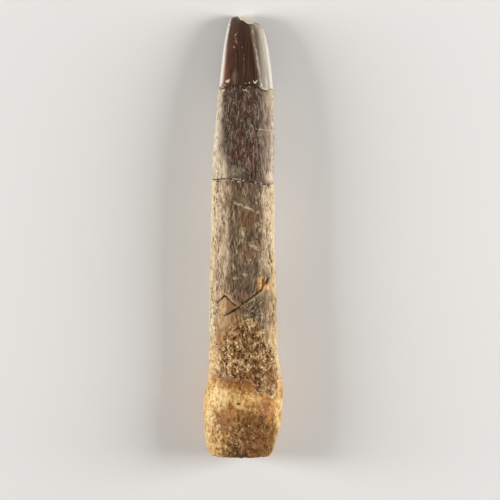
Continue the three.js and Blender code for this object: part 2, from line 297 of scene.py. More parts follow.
# Where the two breaks run, across and along: over the face from left to right, and underneath.
NECK_FACE = [(-4.4, 39.7), (-3.7, 39.85), (-2.6, 39.96), (-1.4, 39.9), (-0.6, 39.73), (0.8, 39.52)]
NECK_FACE += [(1.7, 39.25), (2.7, 39.13), (4.2, 39.13)]
NECK_UNDER = [(-4.4, 39.7), (-2.8, 39.3), (-1.0, 39.75), (0.9, 39.45), (2.6, 39.8), (4.2, 39.13)]
CROWN_FACE = [(-3.3, 52.7), (-2.5, 52.8), (-1.6, 53.15), (0.9, 53.15), (1.7, 52.95), (2.2, 52.7)]
CROWN_FACE += [(2.8, 52.4), (3.4, 52.25), (3.8, 52.6), (4.3, 52.4)]
CROWN_UNDER = [(-3.3, 52.7), (-2.0, 53.0), (-0.3, 52.4), (1.3, 52.7), (3.0, 52.2), (4.3, 52.4)]


def break_line(nominal, over_face, underneath):
    """The break's place along the tooth at each column."""
    y = root_end + nominal
    middle = spine(y)
    ring = np.array([middle + reach(middle, way) * way for way in radial])
    on_face = np.interp(ring[:, 0], *zip(*over_face))
    below = np.interp(ring[:, 0], *zip(*underneath))
    return np.where(radial[:, 2] > 0, on_face, below)


neck_line = break_line(NECK_BREAK, NECK_FACE, NECK_UNDER)
crown_line = break_line(CROWN_BREAK, CROWN_FACE, CROWN_UNDER)


def cast_net():
    """Ray starts, ray ways and their reach for every ring and column."""
    starts, ways = [], []
    root_start, tip_start = root_end + ROOT_END_DEPTH, tip_end - TIP_END_DEPTH
    for y, depth, count, axis in (
        (root_start, ROOT_END_DEPTH, ROOT_END_RINGS, -1),
        (tip_start, TIP_END_DEPTH, TIP_END_RINGS, 1),
    ):
        middle = spine(y)
        girth = np.array([reach(middle, way) for way in radial])[:, None]
        lean = (np.arange(count) + 1) / (count + 1) * np.pi / 2
        rows = [
            girth * radial * math.sin(a) ** 0.7 + depth * math.cos(a) ** 0.7 * np.array([0, axis, 0])
            for a in lean
        ]
        ways.append(np.array(rows))
        starts.append(np.broadcast_to(middle, (count, AROUND, 3)))
    places = ring_places()
    along_rings = np.repeat(places[:, None], AROUND, axis=1)
    for nominal, line in ((NECK_BREAK, neck_line), (CROWN_BREAK, crown_line)):
        along_rings = along_rings + bump_at(places, nominal, 1.6)[:, None] * (line - nominal)
    side_y = root_end + along_rings
    side_starts = np.stack([spine_x(side_y), side_y, spine_z(side_y)], axis=2)
    side_ways = np.broadcast_to(radial, (RINGS, AROUND, 3))
    starts = np.concatenate([starts[0], side_starts, starts[1][::-1]])
    ways = np.concatenate([ways[0], side_ways, ways[1][::-1]])
    ways = ways / np.linalg.norm(ways, axis=2, keepdims=True)
    reaches = [reach(s, w) for s, w in zip(starts.reshape(-1, 3), ways.reshape(-1, 3))]
    return starts, ways, np.array(reaches).reshape(starts.shape[:2])


def neighbours(field, steps, pick):
    """The largest or smallest value within some steps on the net."""
    for _ in range(steps):
        padded = np.pad(field, ((1, 1), (0, 0)), mode="edge")
        near = [padded[:-2], padded[2:], np.roll(field, 1, 1), np.roll(field, -1, 1)]
        field = pick.reduce([field, *near])
    return field


def blurred(field, times):
    """A field on the net, evened out over its neighbours this many times."""
    for _ in range(times):
        field = (np.roll(field, 1, 1) + 2 * field + np.roll(field, -1, 1)) / 4
        padded = np.pad(field, ((1, 1), (0, 0)), mode="edge")
        field = (padded[:-2] + 2 * field + padded[2:]) / 4
    return field


def outward(net):
    """Unit normals of a net of points."""
    round_it = np.roll(net, -1, 1) - np.roll(net, 1, 1)
    forward = np.gradient(net, axis=0)
    normals = np.cross(forward, round_it)
    return normals / np.linalg.norm(normals, axis=2, keepdims=True)


# The solid's grooves are bridged and its facets blurred away. The relief below is cut afresh.
starts, ways, reaches = cast_net()
filled = neighbours(neighbours(reaches, CLOSING, np.maximum), CLOSING, np.minimum)
places_along = (starts + filled[..., None] * ways)[..., 1] - root_end
soft = blurred(filled, BLUR)
crisp = blurred(filled, END_BLUR)
in_crust = rise(places_along, 8.5, 10.5) * rise(places_along, 22, 20)
near_ends = rise(places_along, 3.0, 1.0) + rise(places_along, LENGTH - 4, LENGTH - 2)
detail = np.clip(0.7 * in_crust + near_ends, 0, 1)
form = starts + (soft + (crisp - soft) * detail)[..., None] * ways
spots = form.reshape(-1, 3)
x, z = spots[:, 0], spots[:, 2]
along = spots[:, 1] - root_end
facing = outward(form).reshape(-1, 3)
relief = np.zeros(len(spots))  # how far each point stands out of the form, in millimetres
masks = {}  # what the finish reads, most of them from 0 to 1
masks["flank"] = facing[:, 0]  # -1 on the left flank, 1 on the right one
sideways = np.stack([facing[:, 2], np.zeros(len(spots)), -facing[:, 0]], axis=1)
sway = np.zeros(len(spots))  # how far the grain of the surface swings sideways


def noise_at(grain, stretch=1.0, seed=0.0):
    """Smooth noise from about -1 to 1, lumps of about the grain's size, drawn out along the tooth."""
    scaled = (spots + sway[:, None] * sideways) / (grain, grain * stretch, grain) + seed
    return np.array([noise.noise(spot) for spot in scaled.tolist()])


wobble = noise_at(0.9, 1.2, 7.7) + 0.5 * noise_at(0.4, 1.2, 3.1)
sway = 0.45 * noise_at(1.9, 1.6, 12.4) + 0.16 * noise_at(0.7, 1.6, 15.2)
face = rise(facing[:, 2], -0.1, 0.35)  # 1 on the rounded face

# ---------------------------------------------------------------- the root
# Dentine turned to stone: tan at the sides, grey-brown down the middle, with wavy fibres that run
# along the tooth and pits down its left side. A thin scale has broken off below the neck.


def patch(middle_x, middle_along, half_x, half_along, softness):
    """1 in an uneven oval on the face, fading out over the softness."""
    far = np.hypot((x - middle_x) / half_x, (along - middle_along) / half_along)
    return face * rise(far + 0.45 * wobble, 1 + softness / 2, 1 - softness / 2)


def patches(ovals, softness):
    """1 in any of some uneven ovals, each across, along, half its width and half its length."""
    return np.max([patch(*oval, softness) for oval in ovals], axis=0)


def zones(softness, **named):
    """Masks for the finish, each of the ovals that its name is given."""
    for name, ovals in named.items():
        masks[name] = patches(ovals, softness)


# The finish is one node tree, and each part of the tooth adds its own colours to it.
SWAY = 0.5 * MM  # how far the painted grain swings
fossil, paint = new_finish("fossil")
object_place = paint.node("ShaderNodeTexCoord", {}, {}, "Object")
split_place = {"Vector": object_place}
x_wire = paint.node("ShaderNodeSeparateXYZ", {}, split_place, "X") / MM
along_wire = paint.node("ShaderNodeSeparateXYZ", {}, split_place, "Y") / MM - root_end
slow = {"Vector": object_place, "Scale": 0.6 / MM, "Detail": 1}
slow_noise = paint.node("ShaderNodeTexNoise", {}, slow, "Color")
swing = {0: slow_noise, 1: (SWAY, SWAY, SWAY), 2: object_place}
swayed_place = paint.node("ShaderNodeVectorMath", {"operation": "MULTIPLY_ADD"}, swing)


def pigment(red, green, blue):
    """A colour from 0 to 255 a channel, as the finish needs it."""
    shares = [channel / 255 for channel in (red, green, blue)]
    return tuple(c / 12.92 if c < 0.04 else ((c + 0.055) / 1.055) ** 2.4 for c in shares) + (1,)


def mask(name):
    """A mask that the mesh carries."""
    return paint.node("ShaderNodeAttribute", {"attribute_name": name}, {}, "Fac")


def mottle(grain, stretch=1.0, detail=3, seed=0.0, place=swayed_place):
    """Noise round 0.5, lumps of about the grain's size in millimetres, drawn out along the tooth."""
    fine = 1 / (grain * MM)
    placed = {"Vector": place, "Location": (seed, seed, seed)}
    placed["Scale"] = (fine, fine / stretch, fine)
    sockets = {"Vector": paint.node("ShaderNodeMapping", {}, placed), "Scale": 1, "Detail": detail}
    return paint.node("ShaderNodeTexNoise", {}, sockets, "Fac")


def vein(grain, stretch, width, seed):
    """1 along thin wandering lines about a grain apart, drawn out along the tooth."""
    return abs(mottle(grain, stretch, 2, seed) - 0.5).rise(width, 0.3 * width)


def layered(ground, *coats):
    """A colour under some coats of paint. Each coat is a wire, 1 where it covers, and a colour."""
    for cover, colour in coats:
        ground = cover.mixed(ground, colour)
    return ground


FIBRE_DEPTH, SLIT_DEPTH, SLOT_DEPTH, SCALE_DEPTH, LEDGE_DEPTH = 0.11, 0.12, 0.28, 0.22, 0.14
HOLE_COUNT, HOLE_RADII = 900, (0.08, 0.19)
BUFF, DARK_EARTH, CREAM = pigment(226, 204, 164), pigment(58, 38, 24), pigment(236, 220, 190)
ASH, PEAT, SCAR_BROWN = pigment(96, 82, 65), pigment(82, 66, 48), pigment(126, 88, 56)
DRIFTWOOD, HONEY, ROSY_TAN = pigment(116, 90, 64), pigment(226, 188, 130), pigment(164, 120, 84)

past_neck = along - np.tile(neck_line, form.shape[0])
past_crown = along - np.tile(crown_line, form.shape[0])
on_root = rise(past_neck, 0.1, -0.1)
above_crust = on_root * rise(along, 17, 21)
coarse_fibres = noise_at(0.75, 3.5, 8.3)
fibres = 0.55 * noise_at(0.36, 4.5, 2.2) + 0.5 * noise_at(0.2, 3.2, 5.1) + 0.3 * coarse_fibres
slits = np.clip(1 - 5.5 * np.abs(noise_at(0.5, 5, 21.3)), 0, 1)
slits *= rise(noise_at(1.1, 1.8, 17.7), -0.05, 0.3)
relief += above_crust * (FIBRE_DEPTH * fibres + 0.05 * coarse_fibres - SLIT_DEPTH * slits)

scale_edge = 36.0 - 0.42 * x + 0.22 * wobble + 0.12 * noise_at(0.35, 1, 11.8)
below_edge = scale_edge - along
across_scale = rise(x, -1.7, -1.0) * rise(x, 2.6, 1.9) * face
relief -= SCALE_DEPTH * across_scale * rise(below_edge, 0, 0.25) * rise(below_edge, 5, 1)
lip = across_scale * bump_at(below_edge, -0.02, 0.12 + 0.08 * noise_at(0.5, 1, 16.6))
below_second = 30.75 - 0.45 * (x - 0.4) + 0.2 * wobble - along
across_second = rise(x, 0.2, 0.9) * rise(x, 3.5, 3.0) * face
second_step = rise(below_second, 0, 0.25) * rise(below_second, 3, 0.8)
relief -= LEDGE_DEPTH * across_second * second_step
second_lip = across_second * bump_at(below_second, -0.05, 0.2) * rise(wobble, -0.45, 0.1)
masks["ledge"] = np.clip(lip * (0.85 + 0.7 * wobble) + 0.8 * second_lip, 0, 1)


def scattered(weight, count, smallest, largest, seed):
    """Spots strewn over the net where the weight is large. Gives, for each point of the net, how
    deep it lies in the spot over it as a share of the spot's radius, and that radius."""
    chance = np.random.default_rng(seed)
    picked = chance.choice(len(spots), count, p=weight / weight.sum())
    radii = smallest + (largest - smallest) * chance.random(count) ** 2
    strewn = kdtree.KDTree(count)
    for number, spot in enumerate(spots[picked].tolist()):
        strewn.insert(spot, number)
    strewn.balance()
    share, radius = np.zeros(len(spots)), np.zeros(len(spots))
    for number, spot in enumerate(spots.tolist()):
        deepest = 0
        for _, near, far in strewn.find_range(spot, largest):
            deep = radii[near] ** 2 - far * far
            if deep > deepest:
                deepest = deep
                radius[number] = radii[near]
        if deepest:
            share[number] = math.sqrt(deepest) / radius[number]
    return share, radius


left_margin = rise(facing[:, 0], -0.4, -0.8) * rise(along, 43.5, 40.5)
right_margin = rise(facing[:, 0], 0.5, 0.85) * on_root
pitting = 0.02 * on_root + left_margin + 0.35 * right_margin
hole, hole_radius = scattered(pitting, HOLE_COUNT, *HOLE_RADII, seed=11)
relief -= 0.9 * hole * hole_radius
slots = [(3.7, 30.3, 0.15, 0.4), (3.75, 29.45, 0.13, 0.3), (3.9, 28.8, 0.13, 0.35)]
slots += [(4.1, 28.1, 0.12, 0.3), (4.35, 21.6, 0.12, 0.5), (4.25, 20.6, 0.1, 0.3), (3.65, 28.0, 0.1, 0.25)]
slot = patches(slots, 0.4)
relief -= SLOT_DEPTH * slot

side = np.maximum(rise(x, -1.4, -2.7), rise(x, 2.0, 3.1))
masks["side"] = np.clip(side + 0.25 * coarse_fibres * (side > 0.02) * (side < 0.98), 0, 1)
masks["rim"] = rise(np.abs(facing[:, 0]), 0.6, 0.9)
masks["hole"] = np.maximum(hole, slot)
masks["fibre"] = 0.5 + 0.42 * fibres + 0.16 * coarse_fibres - 0.3 * slits
zones(0.8, scar=[(0.9, 34.4, 1.4, 1.5), (1.2, 29.5, 1.3, 0.9)])
zones(
    1.0,
    grey=[
        (0.9, 38.2, 1.7, 1.3), (0.9, 36.9, 1.7, 0.6), (1.2, 27.2, 1.4, 2.3), (0.2, 25.0, 1.2, 1.6),
        (1.3, 21.3, 1.4, 1.9), (-1.3, 31.0, 0.5, 2.2), (2.7, 22.9, 0.7, 0.8),
    ],
    low_grey=[(1.9, 20.4, 1.0, 1.6), (2.5, 22.4, 0.8, 0.9), (0.9, 21.9, 0.9, 0.8)],
    pink=[(0.1, 23.4, 0.6, 0.55), (-3.0, 24.2, 0.7, 0.9)],
    pale=[
        (-0.1, 32.4, 0.75, 0.5), (-0.3, 31.3, 0.3, 0.25), (-1.35, 27.4, 0.25, 0.5),
        (-1.1, 25.9, 0.35, 0.2), (-0.8, 30.6, 0.14, 0.3), (2.0, 33.4, 0.25, 0.35),
        (0.1, 26.4, 0.5, 0.14), (0.4, 20.6, 0.3, 0.2),
    ],
)

# The root's paint follows the relief of its fibres: darker down in their grooves and slits and paler on
# their crests. This is partly the dentine's own streaks and partly painted shade and highlight.
fibre = mask("fibre") + 1.7 * mottle(0.17, 5, 5) - 0.85
middle_paint = fibre.rise(0.0, 1.1).mixed(pigment(72, 51, 34), pigment(158, 130, 100))
side_paint = fibre.rise(-0.05, 0.9).mixed(pigment(117, 83, 56), pigment(217, 193, 161))
rim_paint = fibre.rise(-0.1, 0.8).mixed(pigment(140, 104, 66), pigment(218, 200, 164))
low_grey = mask("low_grey") * mottle(0.45, 1.5, 3, 7.0).rise(0.25, 0.55)
dark_fibre = vein(0.5, 4, 0.035, 5.0) * mottle(0.8).rise(0.4, 0.55)
pale_fibre = vein(0.45, 5, 0.04, 9.0) * mottle(1.1, 2, 2, 4.0).rise(0.48, 0.62)
low_right = x_wire.rise(2.2, 3.2) * along_wire.rise(29, 26) * along_wire.rise(14, 17)
low_right = low_right * mottle(0.5, 3).rise(0.3, 0.6)
warmth = along_wire.rise(36, 26) * mask("rim") * x_wire.rise(0, 3) * mottle(0.9, 2).rise(0.35, 0.6)
in_hole = mask("hole").rise(0.15, 0.75)
root_paint = layered(
    middle_paint,
    (mask("side"), layered(side_paint, (mask("rim"), rim_paint))),
    (mask("grey") * mottle(0.5, 2).rise(0.25, 0.6) * 0.55, ASH),
    (low_grey * 0.9, PEAT),
    (mask("scar") * mottle(0.7, 2).rise(0.25, 0.6) * 0.6, SCAR_BROWN),
    (dark_fibre * 0.6, DARK_EARTH),
    (pale_fibre * 0.6, BUFF),
    (low_right * 0.8, DRIFTWOOD),
    (warmth * 0.5, HONEY),
    (mask("pink") * mottle(0.4).rise(0.3, 0.6) * 0.6, ROSY_TAN),
    (mask("pale") * fibre.rise(0.1, 0.9) * 0.9, BUFF),
    (mask("ledge") * mottle(0.3).rise(0.3, 0.5) * 0.85, BUFF),
    (in_hole * 0.8, DARK_EARTH),
)

# ---------------------------------------------------------------- the crown
# Enamel, almost black-brown and polished at the tip, with a low light keel down the right of
# its face and painted highlights down its flanks. Lower down it is duller, and wrinkled lengthways
# like bark, dark red-brown between the wrinkles and paler on them, partly its own colour and
# partly painted shade and highlight.

KEEL_FROM, KEEL_TO = (1.15, 61.8), (2.6, 52.8)  # across and along
KEEL_HEIGHT, KEEL_HALF_WIDTH = 0.08, 0.15
SHOULDER_HEIGHT, FOLD_HEIGHT, THREAD_HEIGHT = 0.1, 0.1, 0.09
HAIRLINE, HAIRLINE_SLOPE = 47.15, -0.11  # where it starts along the tooth, and how it slants
PALE_EDGE, PALE_EDGE_SLOPE = (-3.35, 48), 0.07  # a place on the pale left margin's edge, and its lean
BITTER_BROWN, CHESTNUT, RED_BROWN = pigment(98, 70, 54), pigment(112, 60, 38), pigment(86, 42, 30)
HORN_GREY, KEEL_LIGHT, SHADE = pigment(124, 108, 91), pigment(200, 188, 164), pigment(84, 70, 58)
RIM_HIGHLIGHT_WHITE, FLANK_SHEEN_GREY, RIM_HIGHLIGHT_CREAM = pigment(234, 225, 210), pigment(182, 172, 155), pigment(226, 219, 204)
SPLASH_GREY, ROUGH_RED, VERDIGRIS = pigment(124, 108, 92), pigment(150, 92, 58), pigment(162, 150, 126)
WORN_GREY, THREAD, FOLD = pigment(198, 184, 148), pigment(168, 148, 124), pigment(178, 156, 130)
GROOVE_SHADE_BROWN, CHALKY = pigment(38, 21, 9), pigment(222, 200, 164)

on_tip = rise(past_crown, -0.05, 0.1)
on_crown_base = rise(past_neck, -0.1, 0.1) * rise(past_crown, 0.1, -0.1)
broken = rise(noise_at(1.3, 1.6, 14.1), -0.25, 0.3)
threads = rise(np.abs(noise_at(0.55, 3.5, 6.4)), 0.09, 0.02) * broken
folds = noise_at(0.42, 4, 1.3)
wrinkles = FOLD_HEIGHT * folds + THREAD_HEIGHT * threads + 0.06 * noise_at(0.22, 2.5, 9.9)
relief += on_crown_base * wrinkles
relief += on_tip * (0.008 * noise_at(0.3, 16, 3.3) + 0.02 * noise_at(1.4, 6, 5.3))

keel_share = (KEEL_FROM[1] - along) / (KEEL_FROM[1] - KEEL_TO[1])
keel_x = KEEL_FROM[0] + (KEEL_TO[0] - KEEL_FROM[0]) * keel_share + 0.1 * wobble
keel = bump_at(x, keel_x, KEEL_HALF_WIDTH) * face * on_tip * rise(along, 61.8, 60.6)
keel_lumps = np.clip(0.75 + 0.9 * noise_at(0.32, 2.2, 4.4), 0, 1.3)
relief += KEEL_HEIGHT * keel * keel_lumps
shoulder = bump_at(facing[:, 0], -0.72, 0.3) * face  # a rounded ridge down the left of the crown
shoulder *= rise(along, 40, 50)
shoulder *= rise(along, 62, 60)
relief += SHOULDER_HEIGHT * shoulder

left_red = rise(x + 2.35 - 0.13 * (along - 53) + 0.15 * wobble, 0.75, 0.0)
masks["left_red"] = left_red * face * rise(along, 62.0, 60.5)
masks["keel"] = keel * keel_lumps
masks["keel_side"] = rise(x, keel_x - 0.5, keel_x + 0.05) * face
masks["keel_shade"] = bump_at(x, keel_x + 0.45, 0.16) * face * rise(along, 60.5, 58)
masks["thread"] = threads + 0.4 * folds
masks["past_neck"] = past_neck
masks["past_crown"] = past_crown
masks["column_x"] = np.tile(radial[:, 0], form.shape[0])
masks["column_z"] = np.tile(radial[:, 2], form.shape[0])
masks["upward"] = facing[:, 2]
zones(
    0.8,
    red=[
        (0.05, 50.0, 0.5, 1.5), (-0.5, 43.3, 1.3, 1.6), (1.6, 42.8, 0.9, 2.3),
        (-0.2, 46.0, 0.7, 1.2), (1.5, 45.3, 0.5, 0.8), (-0.9, 45.0, 0.4, 0.6),
    ],
    rough=[(-2.8, 53.05, 0.4, 0.3)],
)
zones(1.0, neck_pale=[(-3.1, 41.2, 0.9, 1.9), (3.7, 40.1, 0.5, 0.6)])
zones(1.2, splash=[(-1.2, 54.2, 0.4, 0.9)])
zones(1.4, verdigris=[(-1.2, 41.1, 1.1, 0.75)])

on_root_wire = mask("past_neck").rise(0.05, -0.05)
on_tip_wire = mask("past_crown").rise(-0.05, 0.05)
girth = 3 * MM  # the streaks run along lines of the net, as if it lay on a cylinder this wide
unrolled = {"X": mask("column_x") * girth, "Y": along_wire * MM, "Z": mask("column_z") * girth}
column_place = paint.node("ShaderNodeCombineXYZ", {}, unrolled)
streaks = mottle(0.13, 40, 3, 0.0, column_place)
flank_wire = mask("flank")
tip_red = mask("left_red") * mottle(0.5, 5).rise(0.25, 0.6)
tip_red = tip_red * along_wire.rise(61.5, 56.5).rise(-0.8, 1)  # weaker, but not gone, at the tip
# Painted highlights on the tip, in place of the soft boxes' reflections: a thin pale line down the left
# flank, a broad pale sheen down the right flank and a paler right rim. The enamel there is partly pale
# with wear as well.
left_rim_highlight = flank_wire.rise(-0.66, -0.93) * mask("upward").rise(-0.15, 0.2)
right_flank_sheen = flank_wire.rise(0.16, 0.86) * (0.7 + 0.3 * streaks.rise(0.35, 0.6))
right_flank_sheen = right_flank_sheen * mask("upward").rise(-0.15, 0.2) * (0.74 + 0.26 * along_wire.rise(53, 57.5))
right_rim_highlight = flank_wire.rise(0.74, 0.96) * mask("upward").rise(-0.1, 0.15)
tip_paint = layered(
    streaks.rise(0.35, 0.68).mixed(pigment(48, 29, 20), pigment(80, 54, 40)),
    (along_wire.rise(56, 60.5) * streaks.rise(0.3, 0.6) * 0.4, BITTER_BROWN),
    (tip_red * 0.72, CHESTNUT),
    (mask("splash") * streaks.rise(0.35, 0.6) * 0.7, SPLASH_GREY),
    (mask("keel_side") * streaks.rise(0.25, 0.6) * 0.8, HORN_GREY),
    (mask("keel") * mottle(0.25, 2).rise(0.3, 0.55) * 0.8, KEEL_LIGHT),
    (left_rim_highlight * 0.9, RIM_HIGHLIGHT_WHITE),
    (right_flank_sheen, FLANK_SHEEN_GREY),
    (right_rim_highlight * 0.8, RIM_HIGHLIGHT_CREAM),
    (mask("keel_shade") * 0.15, SHADE),
    (mask("rough") * mottle(0.3).rise(0.35, 0.6) * 0.8, ROUGH_RED),
)

base_side = mottle(0.3, 6, 3, 4.0).rise(0.3, 0.7).mixed(pigment(116, 90, 74), pigment(176, 153, 132))
pale_edge = along_wire * -PALE_EDGE_SLOPE + (PALE_EDGE[1] * PALE_EDGE_SLOPE + PALE_EDGE[0])
left_side = (x_wire - pale_edge + mottle(0.4, 2) * 0.8).rise(1.3, 0.0) * flank_wire.rise(0, -0.2)
right_side = flank_wire.rise(0.25, 0.6) * 0.85
base_rim = flank_wire.rise(-0.62, -0.9) + flank_wire.rise(0.66, 0.92)
base_rim = (base_rim + left_side * along_wire.rise(45, 41) * 0.8).rise(0, 1)
base_rim_paint = mottle(0.2, 2, 3, 3.0).rise(0.35, 0.65)
base_rim_paint = base_rim_paint.mixed(pigment(166, 148, 128), pigment(212, 200, 182))
worn = flank_wire.rise(0.45, 0.75) * along_wire.rise(48.5, 51.5) * mottle(0.6, 1.5).rise(0.3, 0.55)
# Painted highlight and shade on the wrinkles: the light threads, raised by the bump, and the raised folds
# are paler, and the dark threads, sunk by it, are darker. This is partly the enamel's own streaks.
light_thread = vein(0.42, 4.5, 0.05, 3.0) * mottle(0.9, 2, 2, 6.0).rise(0.42, 0.56)
light_thread = light_thread + vein(0.6, 4, 0.04, 8.0) * mottle(0.7, 2, 2, 1.0).rise(0.42, 0.56)
dark_thread = vein(0.45, 4, 0.05, 12.0) * mottle(0.8, 2, 2, 9.0).rise(0.4, 0.58)
neck_pale = (1 - mask("hole").rise(0.1, 0.5)) * mask("neck_pale") * mottle(0.35, 2, 4, 6.0).rise(0.3, 0.5)
past_line = along_wire - HAIRLINE - x_wire * HAIRLINE_SLOPE + mottle(0.8) * 0.8 - 0.4
base_paint = layered(
    mottle(0.3, 4.5, 4, 2.0).rise(0.35, 0.65).mixed(pigment(50, 32, 22), pigment(93, 69, 52)),
    (mask("red") * mottle(0.6, 3).rise(0.25, 0.55) * 0.75, RED_BROWN),
    (mask("verdigris") * mottle(0.3, 1.5, 4).rise(0.25, 0.6) * 0.85, VERDIGRIS),
    (left_side + right_side, base_side),
    (base_rim * 0.85, base_rim_paint),
    (flank_wire.rise(-0.5, -0.85) * mottle(0.25, 3).rise(0.3, 0.6) * 0.55, CREAM),
    (worn * 0.75, WORN_GREY),
    (light_thread * 0.45, THREAD),
    (mask("thread").rise(0.45, 1.0) * 0.35, FOLD),
    (dark_thread * 0.55, GROOVE_SHADE_BROWN),
    (in_hole * 0.8, DARK_EARTH),
    (neck_pale * 0.7, CHALKY),
    (abs(past_line).rise(0.06, 0.02) * x_wire.rise(1.5, 2.3) * 0.8, BUFF),
)
crown_paint = on_tip_wire.mixed(base_paint, tip_paint)

# ---------------------------------------------------------------- the two breaks
# The tooth broke in three as it lay in the ground, and the pieces fit back together. The
# joints show as fine dark lines with cream chips along their edges, and gape at the left.

CHIP_DEPTH, MARK_HEIGHT = 0.07, 0.03
FLECK_COUNT, FLECK_RADII = 90, (0.05, 0.14)
# Thin strokes on the face: the two ends, each across and along, and half the width at the first.
BREAK_CHIPS = [
    (-2.4, 53.6, -1.85, 54.0, 0.1), (-2.15, 53.5, -1.95, 53.75, 0.07), (1.68, 53.45, 1.42, 53.85, 0.08),
    (1.72, 53.45, 2.1, 53.85, 0.1), (2.5, 52.92, 2.6, 53.12, 0.08), (0.84, 53.45, 0.93, 53.6, 0.06),
    (0.3, 53.38, 0.36, 53.46, 0.05), (-0.1, 52.6, 0.05, 52.38, 0.05), (0.3, 52.52, 0.02, 52.36, 0.07),
    (0.3, 52.5, 0.58, 52.2, 0.07), (-2.95, 52.28, -2.55, 52.45, 0.1), (-1.42, 50.75, -1.3, 50.6, 0.09),
]
TIP_SCRATCHES = [
    (-1.16, 60.1, -0.8, 60.5, 0.08), (-1.1, 59.75, -1.04, 59.5, 0.06), (-1.04, 59.3, -0.8, 58.9, 0.08),
    (-1.34, 58.58, -1.2, 58.32, 0.08), (-0.16, 58.5, -0.12, 58.3, 0.07), (-2.0, 58.5, -1.95, 58.4, 0.05),
    (-1.05, 57.6, -1.03, 55.2, 0.02), (0.1, 57.5, 0.12, 54.5, 0.02), (-2.55, 55.3, -2.5, 55.2, 0.05),
]
CROWN_BASE_SCRATCHES = [
    (-0.62, 49.5, -0.86, 48.3, 0.07), (0.84, 50.3, 0.75, 49.4, 0.05), (2.12, 49.0, 2.02, 47.5, 0.05),
    (1.2, 47.6, 1.7, 46.1, 0.07), (-1.9, 47.5, -2.15, 46.4, 0.06), (1.45, 44.7, 1.42, 41.8, 0.05),
    (1.95, 44.4, 2.02, 42.5, 0.05), (0.32, 43.2, 0.34, 43.0, 0.09), (-1.05, 43.9, -1.0, 43.1, 0.06),
    (0.55, 46.6, 0.35, 45.2, 0.05), (-0.9, 46.9, -1.25, 45.6, 0.06), (2.5, 47.0, 2.6, 44.0, 0.04),
    (-0.1, 45.4, -0.3, 44.4, 0.05), (1.0, 46.4, 1.25, 44.8, 0.05), (-1.6, 45.2, -1.7, 43.9, 0.05),
    (2.9, 50.4, 2.8, 47.2, 0.04), (-2.0, 50.6, -2.1, 48.6, 0.05), (0.7, 43.0, 0.95, 41.5, 0.05),
    (3.05, 40.85, 3.1, 40.6, 0.12), (2.4, 41.3, 2.75, 40.7, 0.05), (-0.7, 50.1, -0.55, 50.0, 0.07),
]
LEDGE_SPECKS = [
    (0.95, 30.45, 1.3, 30.3, 0.12), (1.5, 30.2, 1.65, 30.05, 0.1), (1.8, 29.98, 2.15, 29.8, 0.13),
    (2.3, 29.7, 2.5, 29.6, 0.09), (2.75, 29.5, 3.1, 29.4, 0.07), (-0.6, 31.0, -0.5, 30.6, 0.1),
]


def groove(far, half_width, depth):
    """A cut with sloping walls along a line."""
    return depth * np.clip(1 - np.abs(far) / half_width, 0, 1)


def outside_strokes(strokes):
    """How far each point lies outside the nearest of some strokes. A stroke tapers."""
    outside = np.full(len(spots), 9.0)
    for x0, along0, x1, along1, half_width in strokes:
        dx, dy = x1 - x0, along1 - along0
        t = np.clip(((x - x0) * dx + (along - along0) * dy) / (dx * dx + dy * dy), 0, 1)
        far = np.hypot(x - x0 - t * dx + 0.1 * np.sin(np.pi * t) * wobble, along - along0 - t * dy)
        outside = np.minimum(outside, far - half_width * (1 - 0.6 * t))
    return outside + 10 * (facing[:, 2] < -0.1)


gape = rise(noise_at(1.1, 1, 9.2), -0.4, 0.5)
notch = rise(x, -2.4, -2.9) * face  # where the upper break gapes widest
neck_cut = groove(past_neck, 0.1 + 0.06 * gape, 0.06 + 0.26 * gape)
crown_cut = groove(past_crown, 0.09 + 0.05 * gape + 0.16 * notch, 0.06 + 0.24 * gape + 0.3 * notch)
relief -= neck_cut + crown_cut
masks["gape"] = np.clip(gape + notch, 0, 1)

in_chip = outside_strokes(BREAK_CHIPS)
in_mark = outside_strokes(TIP_SCRATCHES + LEDGE_SPECKS + CROWN_BASE_SCRATCHES)
relief -= CHIP_DEPTH * rise(in_chip, 0.06, -0.03)
relief += MARK_HEIGHT * rise(in_mark, 0.05, -0.03) * rise(past_crown, 0.0, -0.2)
flecked = bump_at(x, -1.3, 1.0) + bump_at(x, 2.3, 0.7) + 0.3 * bump_at(x, 0.4, 1.0)
flecked = flecked * face * bump_at(past_neck, 0.0, 0.2) + 0.1 * face * bump_at(past_crown, 0.0, 0.25)
fleck = scattered(flecked, FLECK_COUNT, *FLECK_RADII, seed=31)[0]
masks["in_chip"] = in_chip
masks["in_mark"] = in_mark
masks["chip"] = 0.9 * fleck * rise(flecked, 0.05, 0.2)

# ---------------------------------------------------------------- the cracks and the flake
# Below the middle of the root one long crack slants down from an open, rust-filled splinter on
# the right. A second one peaks on the left, and the flake between them has lifted a little.

CRACK_DEPTH, FLAKE_LIFT = 0.3, 0.14
FLAKE_BEND = -2.35  # where the flake is bent, across
FLAKE_SHADE, RUST_STAIN, CRACK_LIP = pigment(144, 108, 70), pigment(190, 116, 50), pigment(226, 190, 136)
# The courses of the cracks, across and along.
SLANT = [(2.8, 24.6), (2.5, 24.1), (1.8, 23.6), (1.35, 23.2), (0.7, 22.8), (-0.2, 22.2), (-0.66, 21.7)]
SLANT += [(-1.15, 21.4), (-1.9, 20.9), (-2.5, 20.6), (-3.15, 20.7), (-3.75, 20.9), (-4.2, 21.3)]
PEAK = [(-4.5, 22.6), (-3.73, 22.45), (-3.15, 22.85), (-2.68, 23.35), (-2.4, 23.2), (-1.9, 22.7)]
PEAK += [(-1.43, 22.2), (-0.9, 21.95)]
SPLINTER_LEFT = [(2.75, 25.85), (2.85, 25.2), (2.8, 24.6)]
SPLINTER_RIGHT = [(3.75, 25.9), (3.2, 25.1), (2.8, 24.6)]


